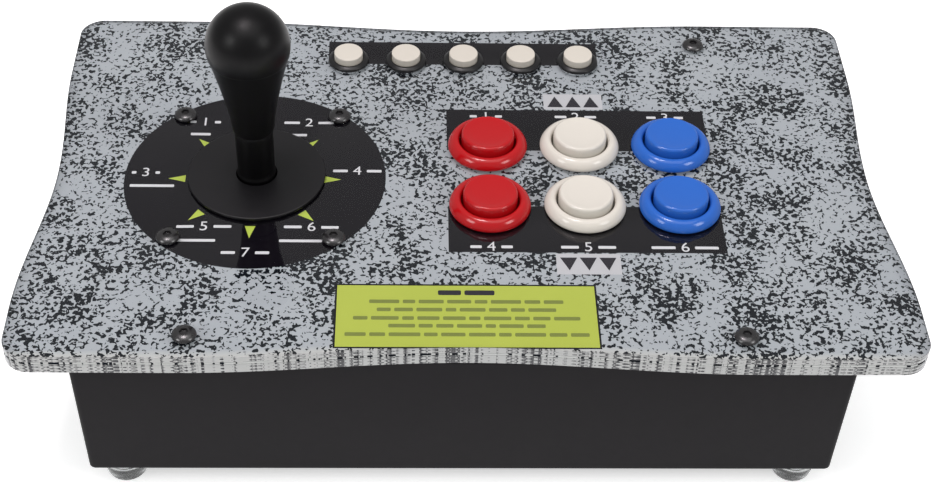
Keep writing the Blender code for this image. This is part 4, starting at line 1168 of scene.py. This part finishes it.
def make_socket():
    """The data socket in the rear wall: its flange, barrel, tongue and contacts."""
    low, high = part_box("usb_socket")
    x, z = (low.x + high.x) / 2.0, (low.z + high.z) / 2.0
    face = high.y
    thickness = face - CASE_HIGH.y - PART_GAP
    flange_half = ((high.x - low.x) / 2.0, (high.z - low.z) / 2.0)
    flange = block("flange", (x, face - thickness / 2.0, z), flange_half, thickness, 1.2 * MM, 0.3 * MM)
    barrel_depth = face - low.y - thickness / 2.0
    barrel_half = (SOCKET_HALF_WIDTH + SOCKET_WALL, SOCKET_HALF_HEIGHT + SOCKET_WALL)
    barrel = block("barrel", (x, low.y + barrel_depth / 2.0, z), barrel_half, barrel_depth, 0.5 * MM)
    cavity_half = (SOCKET_HALF_WIDTH, SOCKET_HALF_HEIGHT)
    opening = block("cavity", (x, face, z), cavity_half, 2.0 * SOCKET_DEPTH, SOCKET_CORNER)
    for name, solid, stands_for in (
        ("socket_flange", flange, ["usb_socket"]),
        ("socket_barrel", barrel, []),
    ):
        mesh = cut(solid, [opening.copy()])
        mesh.name = name
        piece(name, mesh, LOOKS["socket"], "base", stands_for, sharp=30.0)
    tongue_half = (2.6 * MM, 1.5 * MM)
    tongue_depth = SOCKET_DEPTH - 3.0 * MM
    tongue_y = face - SOCKET_DEPTH + tongue_depth / 2.0
    tongue = block("tongue", (x, tongue_y, z), tongue_half, tongue_depth, 0.3 * MM, 0.2 * MM)
    piece("socket_tongue", tongue, LOOKS["pale_nylon"], "base")
    strip_half = (0.5 * MM, 0.12 * MM)
    strips = []
    for side_z in (-1.55 * MM, 1.55 * MM):
        for side_x in (-1.25 * MM, 1.25 * MM):
            spot = (x + side_x, tongue_y, z + side_z)
            strip = block("strip", spot, strip_half, tongue_depth - 2.0 * MM, 0.05 * MM)
            strips.append((strip, Matrix.Identity(4)))
    mesh = joined("contacts", strips)
    piece("socket_contacts", mesh, LOOKS["contact"], "base")


# -------- carried-over CAD nodes
def paint_frame():
    """Gives each CAD node that still shows its own procedural finish."""
    looks = {
        "joystick_plate": "zinc",
        "joystick_housing": "nylon",
        "pivot_ball": "pale_nylon",
        "lever_shaft": "steel",
        "switch_actuator": "pale_nylon",
        "return_spring": "steel",
        "slip_ring": "nylon",
        "control_board": "board",
    }
    for name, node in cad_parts.items():
        if node.hide_render:
            continue
        look = LOOKS["switch"] if "switch_" in name and name not in looks else LOOKS[looks[name]]
        for material_slot in node.material_slots:
            material_slot.material = look


# -------- camera, lights, floor
FLOOR_GLOW = 0.50
WORLD_GLOW = 0.42
WHITE = (1.0, 1.0, 1.0, 1.0)


def make_camera():
    """Looks down at the panel from the front, a little left of its middle."""
    data = bpy.data.cameras.new("camera")
    data.lens = 68.34
    data.sensor_width = 36.0
    camera = in_scene("camera", data)
    camera.location = (-0.02367, -0.55014, 0.56504)
    camera.rotation_euler = [math.radians(a) for a in (46.597, -1.541, -1.148)]
    bpy.context.scene.camera = camera


def soft_light(name, place, target, size, power, colour=(1.0, 1.0, 1.0)):
    """A rectangular light that faces its target."""
    data = bpy.data.lights.new(name, "AREA")
    data.shape = "RECTANGLE"
    data.size, data.size_y = size
    data.energy = power
    data.color = colour
    light = in_scene(name, data)
    light.location = place
    light.rotation_euler = (Vector(target) - Vector(place)).to_track_quat("-Z", "Y").to_euler()


def make_lights():
    """A broad light overhead, a lamp above the panel's left end, and one at each front corner."""
    soft_light("overhead", (0.0, -0.15, 1.30), (0.0, 0.0, 0.0), (1.3, 1.0), 5.5)
    soft_light("lamp", (-0.18, 0.02, 1.20), (0.0, 0.0, 0.0), (0.26, 0.26), 4.6, (1.0, 0.90, 0.94))
    soft_light("front_left", (-1.05, -0.68, 0.95), (0.0, 0.0, 0.08), (0.48, 0.48), 4.8)
    soft_light("front_right", (1.05, -0.68, 0.95), (0.0, 0.0, 0.08), (0.48, 0.48), 4.8)


def make_floor():
    """A pale floor, which glows a little so that it stays pale at its edges."""
    made, tree = new_tree("floor")
    spot = object_millimetres(tree)
    paper = noise(tree, spot, 0.004, 3.0)
    pale = mixed(tree, paper, (0.93, 0.93, 0.93, 1.0), (0.95, 0.95, 0.95, 1.0))
    inputs = {
        "Base Color": pale,
        "Roughness": 0.9,
        "Specular IOR Level": 0.0,
        "Emission Color": WHITE,
        "Emission Strength": FLOOR_GLOW,
    }
    surfaced(made, tree, inputs)
    shape = bmesh.new()
    bmesh.ops.create_grid(shape, x_segments=8, y_segments=8, size=4.0)
    mesh = finish_mesh("floor", shape)
    mesh.materials.append(made)
    in_scene("floor", mesh)


def make_world():
    """White behind everything, and a dimmer white as the light from all round."""
    world = bpy.data.worlds.new("studio")
    bpy.context.scene.world = world
    world.use_nodes = True
    tree = world.node_tree
    tree.nodes.clear()
    path = add(tree, "ShaderNodeLightPath")
    seen = add(tree, "ShaderNodeBackground", {"Color": WHITE, "Strength": 1.0})
    around = add(tree, "ShaderNodeBackground", {"Color": WHITE, "Strength": WORLD_GLOW})
    inputs = {0: path.outputs["Is Camera Ray"], 1: around.outputs[0], 2: seen.outputs[0]}
    both = add(tree, "ShaderNodeMixShader", inputs)
    add(tree, "ShaderNodeOutputWorld", {"Surface": both.outputs[0]})
    bpy.context.scene.view_settings.view_transform = "Standard"


make_camera()
make_panel()
make_print_marks()
make_case()
make_feet()
make_screws()
make_bat()
make_sleeve()
make_washer()
make_buttons()
make_small_buttons()
make_socket()
paint_frame()
make_lights()
make_floor()
make_world()
